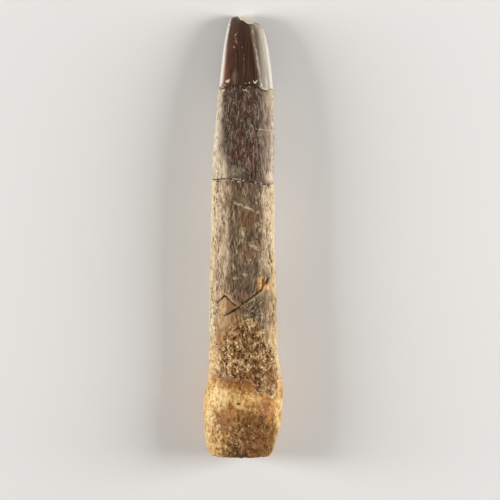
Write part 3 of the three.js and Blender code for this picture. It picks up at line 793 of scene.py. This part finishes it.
def far_from(route):
    """The distance from a route over the face, less than 0 on its root side, and how far along
    the route the nearest place is."""
    nearest, signed, share = np.full(len(spots), 99.0), np.zeros(len(spots)), np.zeros(len(spots))
    for number, ((x0, y0), (x1, y1)) in enumerate(zip(route, route[1:])):
        dx, dy = x1 - x0, y1 - y0
        t = np.clip(((x - x0) * dx + (along - y0) * dy) / (dx * dx + dy * dy), 0, 1)
        far = np.hypot(x - x0 - t * dx, along - y0 - t * dy)
        above = np.sign((along - y0 - t * dy) * abs(dx) - (x - x0 - t * dx) * dy * np.sign(dx))
        share = np.where(far < nearest, (number + t) / (len(route) - 1), share)
        signed = np.where(far < nearest, far * above, signed)
        nearest = np.minimum(nearest, far)
    hidden = facing[:, 2] < -0.1
    return signed + 10 * hidden * np.sign(signed), share


def shut_at_ends(share):
    """0 along a crack, and so far below at its two ends that it closes there."""
    return np.interp(share, [0.0, 0.01, 0.99, 1.0], [-0.3, 0, 0, -0.3])


waver = 0.07 * noise_at(0.35, 1, 1.9) + 0.05 * noise_at(0.8, 1, 6.1)
unevenness = noise_at(0.5, 1, 4.9)
far_slant, share_slant = far_from(SLANT)
far_peak, share_peak = far_from(PEAK)
far_left = far_from(SPLINTER_LEFT)[0]
far_right = far_from(SPLINTER_RIGHT)[0]
slant_width = 0.085 + 0.04 * rise(share_slant, 0.4, 0.1) + 0.06 * bump_at(share_slant, 0.58, 0.1)
slant_width -= 0.04 * bump_at(share_slant, 0.44, 0.05) + 0.05 * rise(share_slant, 0.7, 0.85)
slant_width += 0.05 * unevenness
peak_width = 0.06 + 0.1 * bump_at(share_peak, 0.43, 0.1) + 0.04 * unevenness
left_width = 0.17 * bump_at(along, 25.3, 0.7) + 0.06 * noise_at(0.4, 1, 7.4)
left_width = left_width - 0.3 * rise(along, 25.7, 26.1)
right_width = 0.14 * rise(along, 24.9, 25.4) + 0.08 * noise_at(0.4, 1, 3.4)
right_width = right_width - 0.3 * rise(along, 25.8, 26.2)
cracks = {
    "slant": (far_slant, shut_at_ends(share_slant) + slant_width),
    "peak": (far_peak, shut_at_ends(share_peak) + peak_width),
    "left": (far_left, left_width),
    "right": (far_right, right_width),
}
for name, (far, width) in cracks.items():
    relief -= CRACK_DEPTH * bump_at(far + waver, 0, 0.17) * rise(width, 0.0, 0.1)
    masks["far_" + name] = far + waver
    masks["width_" + name] = width

flake_top = np.interp(x, *zip(*PEAK))
flake_foot = np.interp(x, *zip(*SLANT[::-1]))
on_flake = rise(flake_top - along, 0.0, 0.15) * rise(along - flake_foot, 0.0, 0.15)
on_flake *= rise(x, -4.4, -4.2) * rise(x, -0.9, -1.0) * face
relief += on_flake * (FLAKE_LIFT - 0.12 * np.abs(x - FLAKE_BEND) - 0.06 * fibres)
masks["flake"] = on_flake * rise(x, -3.75, -3.3)
masks["flake_shade"] = on_flake * rise(x + 0.08 * wobble, FLAKE_BEND - 0.06, FLAKE_BEND + 0.06)
under_slant = bump_at(far_slant, -0.26, 0.13) * rise(share_slant, 0.42, 0.3)
over_peak = bump_at(far_peak, 0.26, 0.14) * rise(share_peak, 0.1, 0.3)
masks["crack_lip"] = np.clip(under_slant + 0.8 * over_peak, 0, 1) * face
glow_left = np.hypot((x - 2.45) / 0.55, (along - 25.1) / 0.95)
glow_right = np.hypot((x - 3.3) / 0.65, (along - 24.6) / 0.55)
masks["glow"] = face * rise(np.minimum(glow_left, glow_right) + 0.3 * wobble, 1.35, 0.2)
rusty_slant = 0.6 * bump_at(far_slant, 0, 0.2) * rise(share_slant, 0.22, 0.05)
rusty_splinter = 1.3 * bump_at(far_left, 0.1, 0.3) * rise(along, 26.2, 25.6)
rusty_splinter *= rise(along, 24.2, 24.6)
masks["rust"] = np.clip(rusty_slant + 0.25 * bump_at(far_peak, 0, 0.2) + rusty_splinter, 0, 1)

flake_paint = mottle(0.3).rise(0.3, 0.7).mixed(pigment(168, 132, 90), pigment(206, 172, 124))
glow_paint = fibre.rise(-0.1, 0.9).mixed(pigment(196, 138, 74), pigment(244, 204, 136))
root_paint = layered(
    root_paint,
    (mask("flake") * 0.9, flake_paint),
    (mask("flake_shade") * 0.85, FLAKE_SHADE),
    (mask("glow") * mottle(0.5, 1.5, 4).rise(0.1, 0.5) * 0.95, glow_paint),
    (mask("rust") * mottle(0.35).rise(0.3, 0.6) * 0.8, RUST_STAIN),
    (mask("crack_lip") * mottle(0.3).rise(0.35, 0.55) * 0.7, CRACK_LIP),
)

# ---------------------------------------------------------------- the crust
# Sand and grit cemented to the lower root by iron, thick on the face and patchy behind. The
# flanks are bare. Below it a smooth rusty band leads to the foot.

CRUST_THICKNESS, CRUST_ROUGHNESS, GRITTY_ROUGHNESS, BAND_DEPTH = 0.06, 0.34, 0.16, 0.12
# The border of the crust: its top and its foot, across and along, and its right side, along and
# across.
CRUST_TOP = [(-3.8, 15.6), (-3.0, 17.0), (-2.2, 18.2), (-1.3, 19.2), (0, 20.2), (1.5, 20.8), (2.8, 19.4)]
CRUST_TOP += [(3.8, 17.0)]
CRUST_FOOT = [(-3.6, 12.2), (-2.0, 11.9), (-0.5, 11.3), (1.0, 10.6), (2.5, 9.8), (4.4, 9.1)]
CRUST_RIGHT = [(9, 4.8), (12, 4.6), (14.5, 4.3), (16.5, 3.3), (20, 2.6)]
GRIT_SHADE_AND_HIGHLIGHT_STOPS = [(0, pigment(94, 61, 33)), (0.3, pigment(146, 104, 62)), (0.55, pigment(192, 151, 99))]
GRIT_SHADE_AND_HIGHLIGHT_STOPS += [(0.8, pigment(226, 194, 142)), (1, pigment(246, 228, 188))]
SUNLIT, STONE_GREY, IRON = pigment(226, 182, 120), pigment(112, 92, 68), pigment(134, 74, 26)
CREVICE_SHADE, GLINT, RIDGE_HIGHLIGHT = pigment(66, 41, 20), pigment(252, 238, 208), pigment(234, 208, 162)
TAN, ORANGE, SPECK = pigment(188, 146, 98), pigment(204, 140, 72), pigment(206, 186, 154)

crust_top = np.interp(x, *zip(*CRUST_TOP))
crust_foot = np.interp(x, *zip(*CRUST_FOOT))
crust_right = np.interp(along, *zip(*CRUST_RIGHT))
ragged = 0.8 * wobble + 1.6 * noise_at(1.4, 1.2, 13.3)  # how far its border strays


def crust_cover(beyond):
    """1 in the crust and this far beyond its border."""
    cover = rise(crust_top + beyond + ragged - along, -1.0, 1.6)
    cover *= rise(along - crust_foot + 0.5 * beyond + 0.7 * ragged, -0.4, 0.6)
    cover *= rise(x + 0.4 * beyond + 0.5 * ragged, -4.2, -3.3)
    cover *= rise(crust_right + 0.4 * beyond - x + 0.5 * ragged, -0.4, 0.6)
    return cover * face


crust = crust_cover(0)
strays = crust_cover(1.6)
gritty = patch(1.3, 21.6, 1.3, 1.5, 1.2) * (1 - crust)
behind = rise(facing[:, 2], -0.3, -0.7) * rise(along, 9.5, 11) * rise(along, 20.5, 19)  # underneath
crust = np.maximum(crust, 0.8 * behind * rise(noise_at(2.2, 1, 5.5), -0.05, 0.25))
ridges = 1 - 4.5 * np.abs(noise_at(0.55, 1.2, 2.6)) - 1.5 * np.abs(noise_at(0.3, 1, 7.1))
lumps = 0.5 * noise_at(0.95, 1.1, 4.2) + 0.45 * noise_at(0.4, 1.2, 6.9)
lumps += 0.36 * np.clip(ridges, -0.6, 1)
low_left = rise(x + 0.3 * wobble, -2.9, -3.7) * rise(along, 17.5, 14.5) * on_root
low_left *= rise(along, 8.5, 10) * rise(facing[:, 2], -0.35, 0.0)
relief += low_left * (1 - crust) * (0.12 * noise_at(0.45, 1.2, 8.1) + 0.08 * noise_at(0.25, 1.2, 2.9))
relief += crust * (CRUST_THICKNESS + CRUST_ROUGHNESS * lumps) + GRITTY_ROUGHNESS * gritty * lumps
relief -= BAND_DEPTH * patch(-0.9, 11.1, 2.6, 0.8, 0.9)
masks["ridge"] = ridges
masks["low_left"] = low_left
masks["crust"] = crust
masks["gritty"] = gritty
masks["lump"] = 0.5 + 0.7 * lumps
zones(1.0, orange=[(-3.25, 17.9, 0.4, 0.5), (-2.5, 18.8, 0.6, 0.3), (-3.5, 16.6, 0.3, 0.6)])
zones(
    1.3,
    rusty=[
        (-0.9, 11.3, 2.6, 1.0), (-2.6, 18.0, 0.6, 0.9), (-0.9, 18.6, 0.9, 0.4), (-1.5, 17.7, 0.6, 0.5),
        (3.6, 11.3, 0.5, 1.3), (-3.1, 15.9, 0.4, 0.9), (0.2, 10.6, 2.2, 0.4),
    ],
)

in_crust_wire = mask("crust").rise(0.6, 0.9)
# The crust's colour runs with its lumps, dark down between them and pale on their tops: partly the grit's
# own tones and partly painted shade and highlight. The crevices are painted shade; the glints and the pale
# ridges are painted highlights.
lump = mask("lump") + 0.7 * mottle(0.13, 1, 4) - 0.35
crust_left = x_wire.rise(-0.8, -2.6) * mottle(0.35, 1.2, 4, 6.0).rise(0.3, 0.6)
crust_grey = x_wire.rise(-1.5, 0.5) * along_wire.rise(13, 16) * mottle(0.8).rise(0.3, 0.6)
painted_crevice_shade = vein(0.6, 1.1, 0.07, 22.0) * mottle(0.7, 1, 2, 3.0).rise(0.42, 0.55) * in_crust_wire
glint = vein(0.5, 1.0, 0.06, 14.0) * mottle(0.5, 1, 2, 8.0).rise(0.5, 0.6) * in_crust_wire
ridge = (mask("ridge") + mottle(0.3) - 0.5).rise(0.35, 0.75) * mottle(0.9, 1, 2, 17.0).rise(0.38, 0.55)
crust_paint = layered(
    paint.node("ShaderNodeValToRGB", {"stops": GRIT_SHADE_AND_HIGHLIGHT_STOPS}, {"Fac": lump}, "Color"),
    (crust_left * 0.45, SUNLIT),
    (crust_grey * 0.35, STONE_GREY),
    (mask("rusty") * mottle(0.3, 1, 4).rise(0.3, 0.6) * 0.6, IRON),
    (painted_crevice_shade * 0.55, CREVICE_SHADE),
    (glint * mask("lump").rise(0.35, 0.7) * 0.8, GLINT),
    (ridge * 0.55, RIDGE_HIGHLIGHT),
)
below_flake = along_wire.rise(15, 17.5) * along_wire.rise(21.5, 20.2) * x_wire.rise(0.4, -0.8)
below_flake = below_flake * (1 - mask("flake")) * mottle(0.4, 2).rise(0.2, 0.6)
below_flake = below_flake * flank_wire.rise(-0.9, -0.5)
low_left_paint = mottle(0.32, 1.3, 4, 13.0).rise(0.3, 0.68)
low_left_paint = low_left_paint.mixed(pigment(158, 112, 66), pigment(238, 206, 150))
crusted = (mask("crust") + 1.1 * mottle(0.45, 1.2, 4) - 0.55).rise(0.25, 0.6)
root_paint = layered(
    root_paint,
    (below_flake * 0.75, TAN),
    (mask("low_left") * 0.8, low_left_paint),
    (mask("orange") * mottle(0.25, 1.3, 4, 2.0).rise(0.35, 0.65) * 0.65, ORANGE),
    (mask("gritty") * mottle(0.2, 1.3, 3, 5.0).rise(0.53, 0.6) * 0.5, SPECK),
    (crusted, crust_paint),
)

# ---------------------------------------------------------------- the foot
# The swollen end of the root, stained ochre and brown by the sand and pitted all over, with
# crumbly bumps down its left side. It is broken off square at its end.

DAPPLE_HEIGHT, SWELL_HEIGHT, BUMP_HEIGHT, SLOT_PIT_DEPTH = 0.14, 0.07, 0.2, 0.35
PIT_COUNT, PIT_RADII = 450, (0.07, 0.18)
PLUM, RUSTY_BAND, BRIGHT_OCHRE = pigment(160, 106, 80), pigment(158, 98, 16), pigment(250, 220, 158)
FOOT_CREAM, GAP_BROWN, BUMP_HIGHLIGHT_CREAM = pigment(240, 208, 152), pigment(128, 82, 36), pigment(248, 222, 168)
BUMP_SHADE_BROWN, PIT_LIP, PIT_BROWN = pigment(132, 86, 42), pigment(238, 206, 146), pigment(104, 62, 26)

on_foot = rise(along + 0.5 * wobble, 12.5, 10.5)
dapple = 0.55 * noise_at(0.45, 1.4, 6.6) + 0.35 * noise_at(0.22, 1.3, 3.9) + 0.4 * noise_at(0.9, 1.2, 5.8)
foot_pits, foot_pit_radius = scattered(0.0005 + on_foot, PIT_COUNT, *PIT_RADII, seed=23)
relief += on_foot * (DAPPLE_HEIGHT * dapple + SWELL_HEIGHT * noise_at(1.3, 1.5, 3.9))
relief -= on_foot * 0.45 * foot_pits * foot_pit_radius
slot_pit = patch(-0.65, 8.05, 0.3, 0.13, 0.4)
relief -= SLOT_PIT_DEPTH * slot_pit
bumpy_left = np.maximum(patch(-3.5, 3.0, 1.9, 3.0, 1.3), 0.7 * patch(-4.2, 6.5, 1.2, 3.0, 1.3))
foot_bumps = noise_at(0.5, 1, 14.4) + 0.6 * noise_at(0.27, 1, 5.7)
relief += BUMP_HEIGHT * bumpy_left * foot_bumps
masks["foot_bump"] = bumpy_left * foot_bumps
masks["foot"] = on_foot
masks["dapple"] = 0.5 + 0.62 * dapple
masks["foot_pit"] = np.maximum(0.5 * foot_pits * on_foot, slot_pit)
zones(0.9, pit_lip=[(-0.6, 7.55, 0.5, 0.25)])
zones(
    1.0,
    brown=[
        (0.4, 3.4, 2.4, 3.2), (3.0, 2.8, 2.2, 3.0), (3.5, 1.8, 1.4, 1.8), (-0.4, 1.2, 2.6, 1.4),
        (1.8, 5.2, 2.2, 1.2),
    ],
)
zones(
    1.1,
    plum=[(-2.9, 5.8, 1.5, 1.2), (3.2, 7.0, 1.2, 1.4), (2.2, 2.8, 1.2, 1.2), (-1.2, 4.4, 0.8, 1.0)],
    cream=[(-3.9, 3.2, 1.2, 2.4), (-0.5, 3.4, 0.7, 2.3), (0.9, 7.1, 1.1, 0.5), (-3.0, 1.4, 0.9, 0.7)],
)
zones(
    1.2,
    ochre=[
        (-4.0, 8.8, 2.0, 1.8), (0.0, 8.7, 2.6, 0.9), (-5.1, 4.5, 0.5, 3.6), (5.0, 6.0, 0.6, 3.5),
        (-3.9, 1.2, 0.9, 1.0),
    ],
    speckled=[(-4.4, 4.4, 1.4, 1.9), (-3.6, 1.6, 1.6, 1.3), (4.7, 6.0, 0.6, 3.0)],
    bright=[(-3.6, 8.9, 1.3, 1.5), (-4.7, 6.6, 0.5, 1.6)],
)

# The foot's paint follows its relief: darker in the low places of the dapple and paler on the high ones,
# partly stain and partly painted shade and highlight.
dappled = mask("dapple") + 0.8 * mottle(0.3, 1.3, 3) + 0.7 * mottle(0.8, 1.3, 2, 4.0) - 0.75
ochre_paint = dappled.rise(-0.1, 0.85).mixed(pigment(194, 134, 66), pigment(250, 210, 138))
brown_paint = dappled.rise(-0.05, 1.05).mixed(pigment(70, 40, 15), pigment(146, 99, 52))
rim_of_foot = dappled.rise(0.05, 0.9).mixed(pigment(134, 92, 46), pigment(232, 208, 152))
low_flank_paint = dappled.rise(0.0, 1.0).mixed(pigment(150, 106, 60), pigment(208, 168, 110))
crumbs = mottle(0.34, 1.1, 3, 11.0).rise(0.5, 0.6)
gaps = mottle(0.28, 1.1, 3, 11.0).rise(0.49, 0.4)
foot_edge = abs(flank_wire) + 0.5 * mottle(0.6, 1.5, 3, 18.0) - 0.25
foot_paint = layered(
    dappled.rise(-0.1, 1.0).mixed(pigment(132, 78, 32), pigment(222, 164, 92)),
    (mask("ochre") * 0.85, ochre_paint),
    (mask("plum") * mottle(0.6).rise(0.3, 0.6) * 0.65, PLUM),
    (mask("brown") * mottle(0.8).rise(0.15, 0.42) * 0.9, brown_paint),
    (mask("rusty") * mottle(0.4, 1.4, 4).rise(0.25, 0.6) * 0.9, RUSTY_BAND),
    (mask("bright") * dappled.rise(0.0, 0.5) * 0.8, BRIGHT_OCHRE),
    (mask("cream") * crumbs * 0.6, FOOT_CREAM),
    (foot_edge.rise(0.72, 1.02) * 0.85, rim_of_foot),
    (mask("upward").rise(0.3, -0.15) * 0.6, low_flank_paint),
    (mask("speckled") * gaps * 0.4, GAP_BROWN),
    # Painted highlight on the tops of the crumbly bumps and painted shade between them, over their own
    # cream and brown.
    (mask("foot_bump").rise(0.08, 0.45) * 0.7, BUMP_HIGHLIGHT_CREAM),
    (mask("foot_bump").rise(-0.1, -0.45) * 0.5, BUMP_SHADE_BROWN),
    (mask("pit_lip") * 0.8, PIT_LIP),
    (mask("foot_pit").rise(0.25, 0.8) * 0.42, PIT_BROWN),
)
root_paint = layered(root_paint, (mask("foot") * (1 - crusted), foot_paint))

# ---------------------------------------------------------------- the broken ends
# The tip has lost a chip, which bares cream dentine. The root end is rough broken dentine, with
# a nick in its upper rim and the pulp hollow behind it. The hollow is packed with dirt; the nick is
# filled and painted dark brown, and the rim above it darkened, as painted shade.

CHIP_FACING = Vector((0.31, 1, 0.21)).normalized()
CHIP_PLACE = Vector((-0.75, tip_end - 0.04, 0.55))  # a point on the chip's floor
# The chip's lip on the face, and the slanted end of the tip at it, both across and along.
CHIP_LIP = [(-0.8, 63.1), (-0.69, 62.8), (-0.54, 62.5), (-0.35, 62.25), (-0.05, 62.2), (0.64, 61.78)]
CHIP_LIP += [(1.1, 61.76), (1.45, 61.76), (1.6, 62.5)]
CHIP_END = [(-0.95, 62.97), (-0.69, 62.68), (3.0, 61.45)]
BESIDE_CHIP_DEPTH, END_DEPTH = 0.13, 0.12
NICK_PLACE, NICK_HALF_WIDTH = -0.3, 0.75
HOLLOW_PLACE, HOLLOW_SIZE = (-0.35, 4.1), (2.6, 1.6)  # across and upwards
DIRT_AND_SHADE_BROWN = pigment(70, 52, 36)

over_floor = (spots - CHIP_PLACE) @ CHIP_FACING
beside_chip = np.maximum(rise(x, -0.55, -1.0), rise(x, 1.5, 2.0))
beside_chip *= rise(over_floor, -0.9, -0.1) * rise(along, 58, 59)
relief -= BESIDE_CHIP_DEPTH * beside_chip
masks["beside_chip"] = beside_chip
tip_chip = rise(over_floor + 0.05 * wobble, -0.16, -0.09) * rise(along, 58, 59)
tip_chip *= rise(x + 0.2 * wobble, -0.95, -0.75) * rise(x + 0.2 * wobble, 1.85, 1.65)
over_lip = along - np.interp(x, *zip(*CHIP_LIP))
tip_chip *= rise(over_lip + 0.04 * wobble, -0.05, 0.05)
relief += tip_chip * 0.04 * noise_at(0.4, 1, 8.8)
end_face = rise(-facing[:, 1], 0.75, 0.9) * rise(along, 2, 1)
relief += end_face * (0.12 * noise_at(0.7, 1, 2.1) + 0.06 * noise_at(0.3, 1, 1.1) - END_DEPTH)
masks["chip"] = np.maximum(masks["chip"], tip_chip)
# The nick is filled and painted dark brown as painted shade; the pulp hollow is packed with dirt.
nick = bump_at(x, NICK_PLACE, NICK_HALF_WIDTH) * rise(z, 5.2, 5.8) * rise(along, 1.2, 0.8)
nick *= rise(z, 7.2, 6.9)
from_hollow = np.hypot((x - HOLLOW_PLACE[0]) / HOLLOW_SIZE[0], (z - HOLLOW_PLACE[1]) / HOLLOW_SIZE[1])
in_hollow = rise(from_hollow, 1.1, 0.8) * rise(along, 0.2, 0.9)
# Painted shade on the face's rim above the nick.
nick_rim_shade = 0.85 * patch(-0.25, 0.2, 1.1, 0.6, 0.7)
masks["dirt"] = np.max([nick, in_hollow, nick_rim_shade], axis=0)
masks["end_face"] = np.maximum(end_face, in_hollow)
foot_broken = mottle(0.4, 1, 4).rise(0.25, 0.75).mixed(pigment(128, 88, 50), pigment(206, 166, 112))
root_paint = layered(root_paint, (mask("end_face"), foot_broken), (mask("dirt") * 0.85, DIRT_AND_SHADE_BROWN))

# ---------------------------------------------------------------- the finish put together
# Enamel above the neck and dentine below it, then the chips and the dirt in every crack. The
# enamel of the tip is polished, and all the rest is dull.

MARK_CREAM = pigment(206, 188, 160)
GLOSS = {"Specular IOR Level": 0.16, "Coat Roughness": 0.16}

chip_edge = (mask("chip") + 1.3 * mottle(0.26, 1, 3) - 0.65).rise(0.5, 0.62)
jagged = 0.16 * mottle(0.16, 1, 2, 5.0) - 0.08
chip_edge = paint.maths("MAXIMUM", chip_edge, (mask("in_chip") + jagged).rise(0.03, -0.02))
chip_cream = mottle(0.12, 1, 4).rise(0.2, 0.8).mixed(pigment(204, 184, 146), pigment(246, 236, 208))
marked = (mask("in_mark") + jagged * 0.6).rise(0.03, -0.03)
ragged_line = 0.24 * mottle(0.35, 1, 3) - 0.12
near_neck = abs(mask("past_neck") + ragged_line).rise(0.11, 0.05)
near_crown = abs(mask("past_crown") + ragged_line).rise(0.1, 0.05)
cut = paint.maths("MAXIMUM", near_neck, near_crown) * (0.35 + 0.65 * mask("gape"))
for name in cracks:
    outside = abs(mask("far_" + name)) - mask("width_" + name)
    cut = paint.maths("MAXIMUM", cut, outside.rise(0.04, -0.03))
cut_paint = mask("rust").mixed(pigment(62, 37, 21), pigment(150, 80, 24))
paint_all = layered(
    crown_paint,
    (on_root_wire, root_paint),
    (marked * 0.6, MARK_CREAM),
    (chip_edge, chip_cream),
    (cut * 0.92, cut_paint),
)
dull = on_root_wire * 0.15 + (1 - on_tip_wire) * 0.15 + chip_edge * 0.2 + 0.3
dull = dull + (streaks - 0.5) * 0.1
bark = mottle(0.2, 5, 4, 3.0) * 0.12 + light_thread * 0.05 - dark_thread * 0.05
skin = on_root_wire * (mottle(0.16, 4, 4) * 0.12 + mottle(0.35, 2.5, 2) * 0.1)
skin = skin + on_tip_wire * streaks * 0.008
skin = skin + (1 - on_tip_wire) * (1 - on_root_wire) * bark
skin = skin + (mask("crust") + mask("foot")) * mottle(0.22, 1, 4) * 0.14
bumpy = paint.node("ShaderNodeBump", {}, {"Strength": 1.0, "Distance": MM, "Height": skin})
polish = on_tip_wire * (1 - chip_edge) * (1 - mask("rough")) * (0.9 - 0.7 * mask("beside_chip"))
stone = {"Base Color": paint_all, "Roughness": dull, "Normal": bumpy, "Coat Weight": polish}
close_finish(paint, stone | GLOSS)

# ---------------------------------------------------------------- the mesh
# The relief lifts the net off the form. It fades where the tooth rests, so the two worn flats
# stay flat on the table. A fill, painted dark brown as painted shade, closes the nick in the root
# end nearly to its rim.

RELIEF_TOP = 0.15  # how far relief may stand over the solid's highest place
NICK_FILL_SINK = 0.1  # how far the nick's fill, painted dark as painted shade, lies inside the broken end

relief *= rise(z, 0.05, 0.9)
moved = (spots + relief[:, None] * facing).reshape(form.shape)
moved[..., 2] = np.clip(moved[..., 2], 0, crest + RELIEF_TOP)
chip_end = np.interp(moved[..., 0], *zip(*CHIP_END))
moved[..., 1] = np.clip(moved[..., 1], root_end, root_end + chip_end)
edge_roundness = 0.4 * rise(moved[..., 2], 6.2, 7.4)
nick_fill_top = np.minimum(moved[..., 1], root_end + NICK_FILL_SINK + edge_roundness)
moved[..., 1] += nick.reshape(form.shape[:2]) * (nick_fill_top - moved[..., 1])
points = moved.reshape(-1, 3)
rows = form.shape[0]
root_pole, tip_pole = moved[0].mean(axis=0), moved[-1].mean(axis=0)
index = np.arange(rows * AROUND).reshape(rows, AROUND)
following = np.roll(index, -1, axis=1)
quads = np.stack([index[:-1], index[1:], following[1:], following[:-1]], axis=2).reshape(-1, 4)
faces = quads.tolist()
faces += [(rows * AROUND, a, b) for a, b in zip(index[0], following[0])]
faces += [(rows * AROUND + 1, b, a) for a, b in zip(index[-1], following[-1])]
vertices = np.concatenate([points, [root_pole, tip_pole]]) * MM


def carry(mesh, name, values):
    """One number for each point of a mesh, which its finish reads."""
    layer = mesh.attributes.new(name, "FLOAT", "POINT")
    layer.data.foreach_set("value", values.astype(np.float32))


tooth_mesh = bpy.data.meshes.new("fossil_tooth")
tooth_mesh.from_pydata(vertices.tolist(), [], faces)
tooth_mesh.shade_smooth()
tooth_mesh.materials.append(fossil)
for name, values in masks.items():
    carry(tooth_mesh, name, np.append(values, [values[:AROUND].mean(), values[-AROUND:].mean()]))
tooth = added("fossil_tooth", tooth_mesh)
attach(tooth, "root")
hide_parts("tooth")

# ---------------------------------------------------------------- the sand grains
# Grains of quartz sand, cemented into the crust and more thinly over the foot. They are angular,
# about a tenth to four tenths of a millimetre across. Some stand proud and others are all but sunk.

GRAIN_TOP = 0.2  # how far a grain may stand over the solid's highest place
GRIT_TONES = [(0, pigment(112, 72, 38)), (0.4, pigment(168, 126, 74)), (0.75, pigment(206, 170, 114))]
GRIT_TONES += [(1, pigment(240, 218, 174))]
SAND_TONES = [(0, pigment(140, 92, 48)), (0.5, pigment(190, 142, 86)), (1, pigment(238, 206, 150))]
GRAIN_RUST = pigment(158, 92, 36)

ball = bmesh.new()
bmesh.ops.create_icosphere(ball, subdivisions=1, radius=1)
ball_corners = np.array([corner.co for corner in ball.verts])
ball_faces = np.array([[corner.index for corner in side.verts] for side in ball.faces])
ball.free()


def grain_finish(name, stops):
    """A stone finish whose tone is the grain's own."""
    made, sand = new_finish(name)
    tone = sand.node("ShaderNodeAttribute", {"attribute_name": "tone"}, {}, "Fac")
    rusty = sand.node("ShaderNodeAttribute", {"attribute_name": "rusty"}, {}, "Fac")
    spotty = sand.node("ShaderNodeTexNoise", {}, {"Scale": 6 / MM, "Detail": 2}, "Fac")
    tone = tone + (spotty - 0.5) * 0.3
    shade = sand.node("ShaderNodeValToRGB", {"stops": stops}, {"Fac": tone}, "Color")
    shade = (rusty * 0.6).mixed(shade, GRAIN_RUST)
    close_finish(sand, {"Base Color": shade, "Roughness": 0.45 + spotty * 0.3})
    return made


def strewn_grains(name, finish, weight, tones, count, smallest, largest, sunk, seed):
    """Many small angular grains on the tooth, as one piece, more of them where the weight is large.
    Tones has a tone for each point of the net."""
    chance = np.random.default_rng(seed)
    picked = chance.choice(len(points), count, p=weight / weight.sum())
    radii = smallest + (largest - smallest) * chance.random(count) ** 2.5
    seats = points[picked] + facing[picked] * (radii * (0.45 - sunk * chance.random(count)))[:, None]
    seats += 0.06 * chance.standard_normal((count, 3))
    seats[:, 2] = np.minimum(seats[:, 2], crest + GRAIN_TOP - 1.3 * radii)
    corners_each = len(ball_corners)
    shapes = ball_corners * (0.72 + 0.5 * chance.random((count, corners_each, 1)))
    shapes *= 0.7 + 0.6 * chance.random((count, 1, 3))
    frames = np.linalg.qr(chance.standard_normal((count, 3, 3)))[0]
    shapes = np.einsum("nij,nkj->nki", frames, shapes) * radii[:, None, None] + seats[:, None]
    mirrored = np.linalg.det(frames) < 0
    ordered = np.where(mirrored[:, None, None], ball_faces[:, ::-1], ball_faces)
    all_faces = (ordered + corners_each * np.arange(count)[:, None, None]).reshape(-1, 3)
    mesh = bpy.data.meshes.new(name)
    mesh.from_pydata((shapes.reshape(-1, 3) * MM).tolist(), [], all_faces.tolist())
    grain_tones = tones[picked] + 0.45 * (chance.random(count) - 0.5)
    grain_tones += 0.4 * (chance.random(count) > 0.95)
    carry(mesh, "tone", np.repeat(grain_tones, corners_each))
    carry(mesh, "rusty", np.repeat(masks["rusty"][picked], corners_each))
    mesh.materials.append(finish)
    made = added(name, mesh)
    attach(made, "root")


clear_of_table = rise(points[:, 2], 0.5, 1.2) * (points[:, 2] < crest - 0.05)
grit_weight = (crust + 0.04 * gritty + 0.04 * strays) * (0.15 + rise(lumps, -0.3, 0.3))
# Grains on the crust's higher lumps are paler, partly as painted highlight.
strewn_grains(
    "crust_grains",
    grain_finish("grit", GRIT_TONES),
    weight=grit_weight * clear_of_table * (on_foot < 0.9),
    tones=0.43 + 0.55 * noise_at(0.7, 1.2, 19.3) + 0.45 * lumps + 0.28 * rise(x, -0.5, -2.5),
    count=7000,
    smallest=0.045,
    largest=0.17,
    sunk=1.5,
    seed=5,
)
sand_weight = on_foot * (1 - crust) * (0.3 + rise(dapple, -0.1, 0.4)) * clear_of_table
sand_weight *= rise(np.abs(facing[:, 0]), 0.98, 0.7) * rise(-facing[:, 1], 0.6, 0.3)
strewn_grains(
    "foot_grains",
    grain_finish("sand", SAND_TONES),
    weight=sand_weight,
    tones=0.5 + 0.4 * dapple - 0.3 * masks["brown"] + 0.3 * masks["ochre"] + 0.3 * masks["bright"],
    count=2000,
    smallest=0.04,
    largest=0.15,
    sunk=1.2,
    seed=17,
)
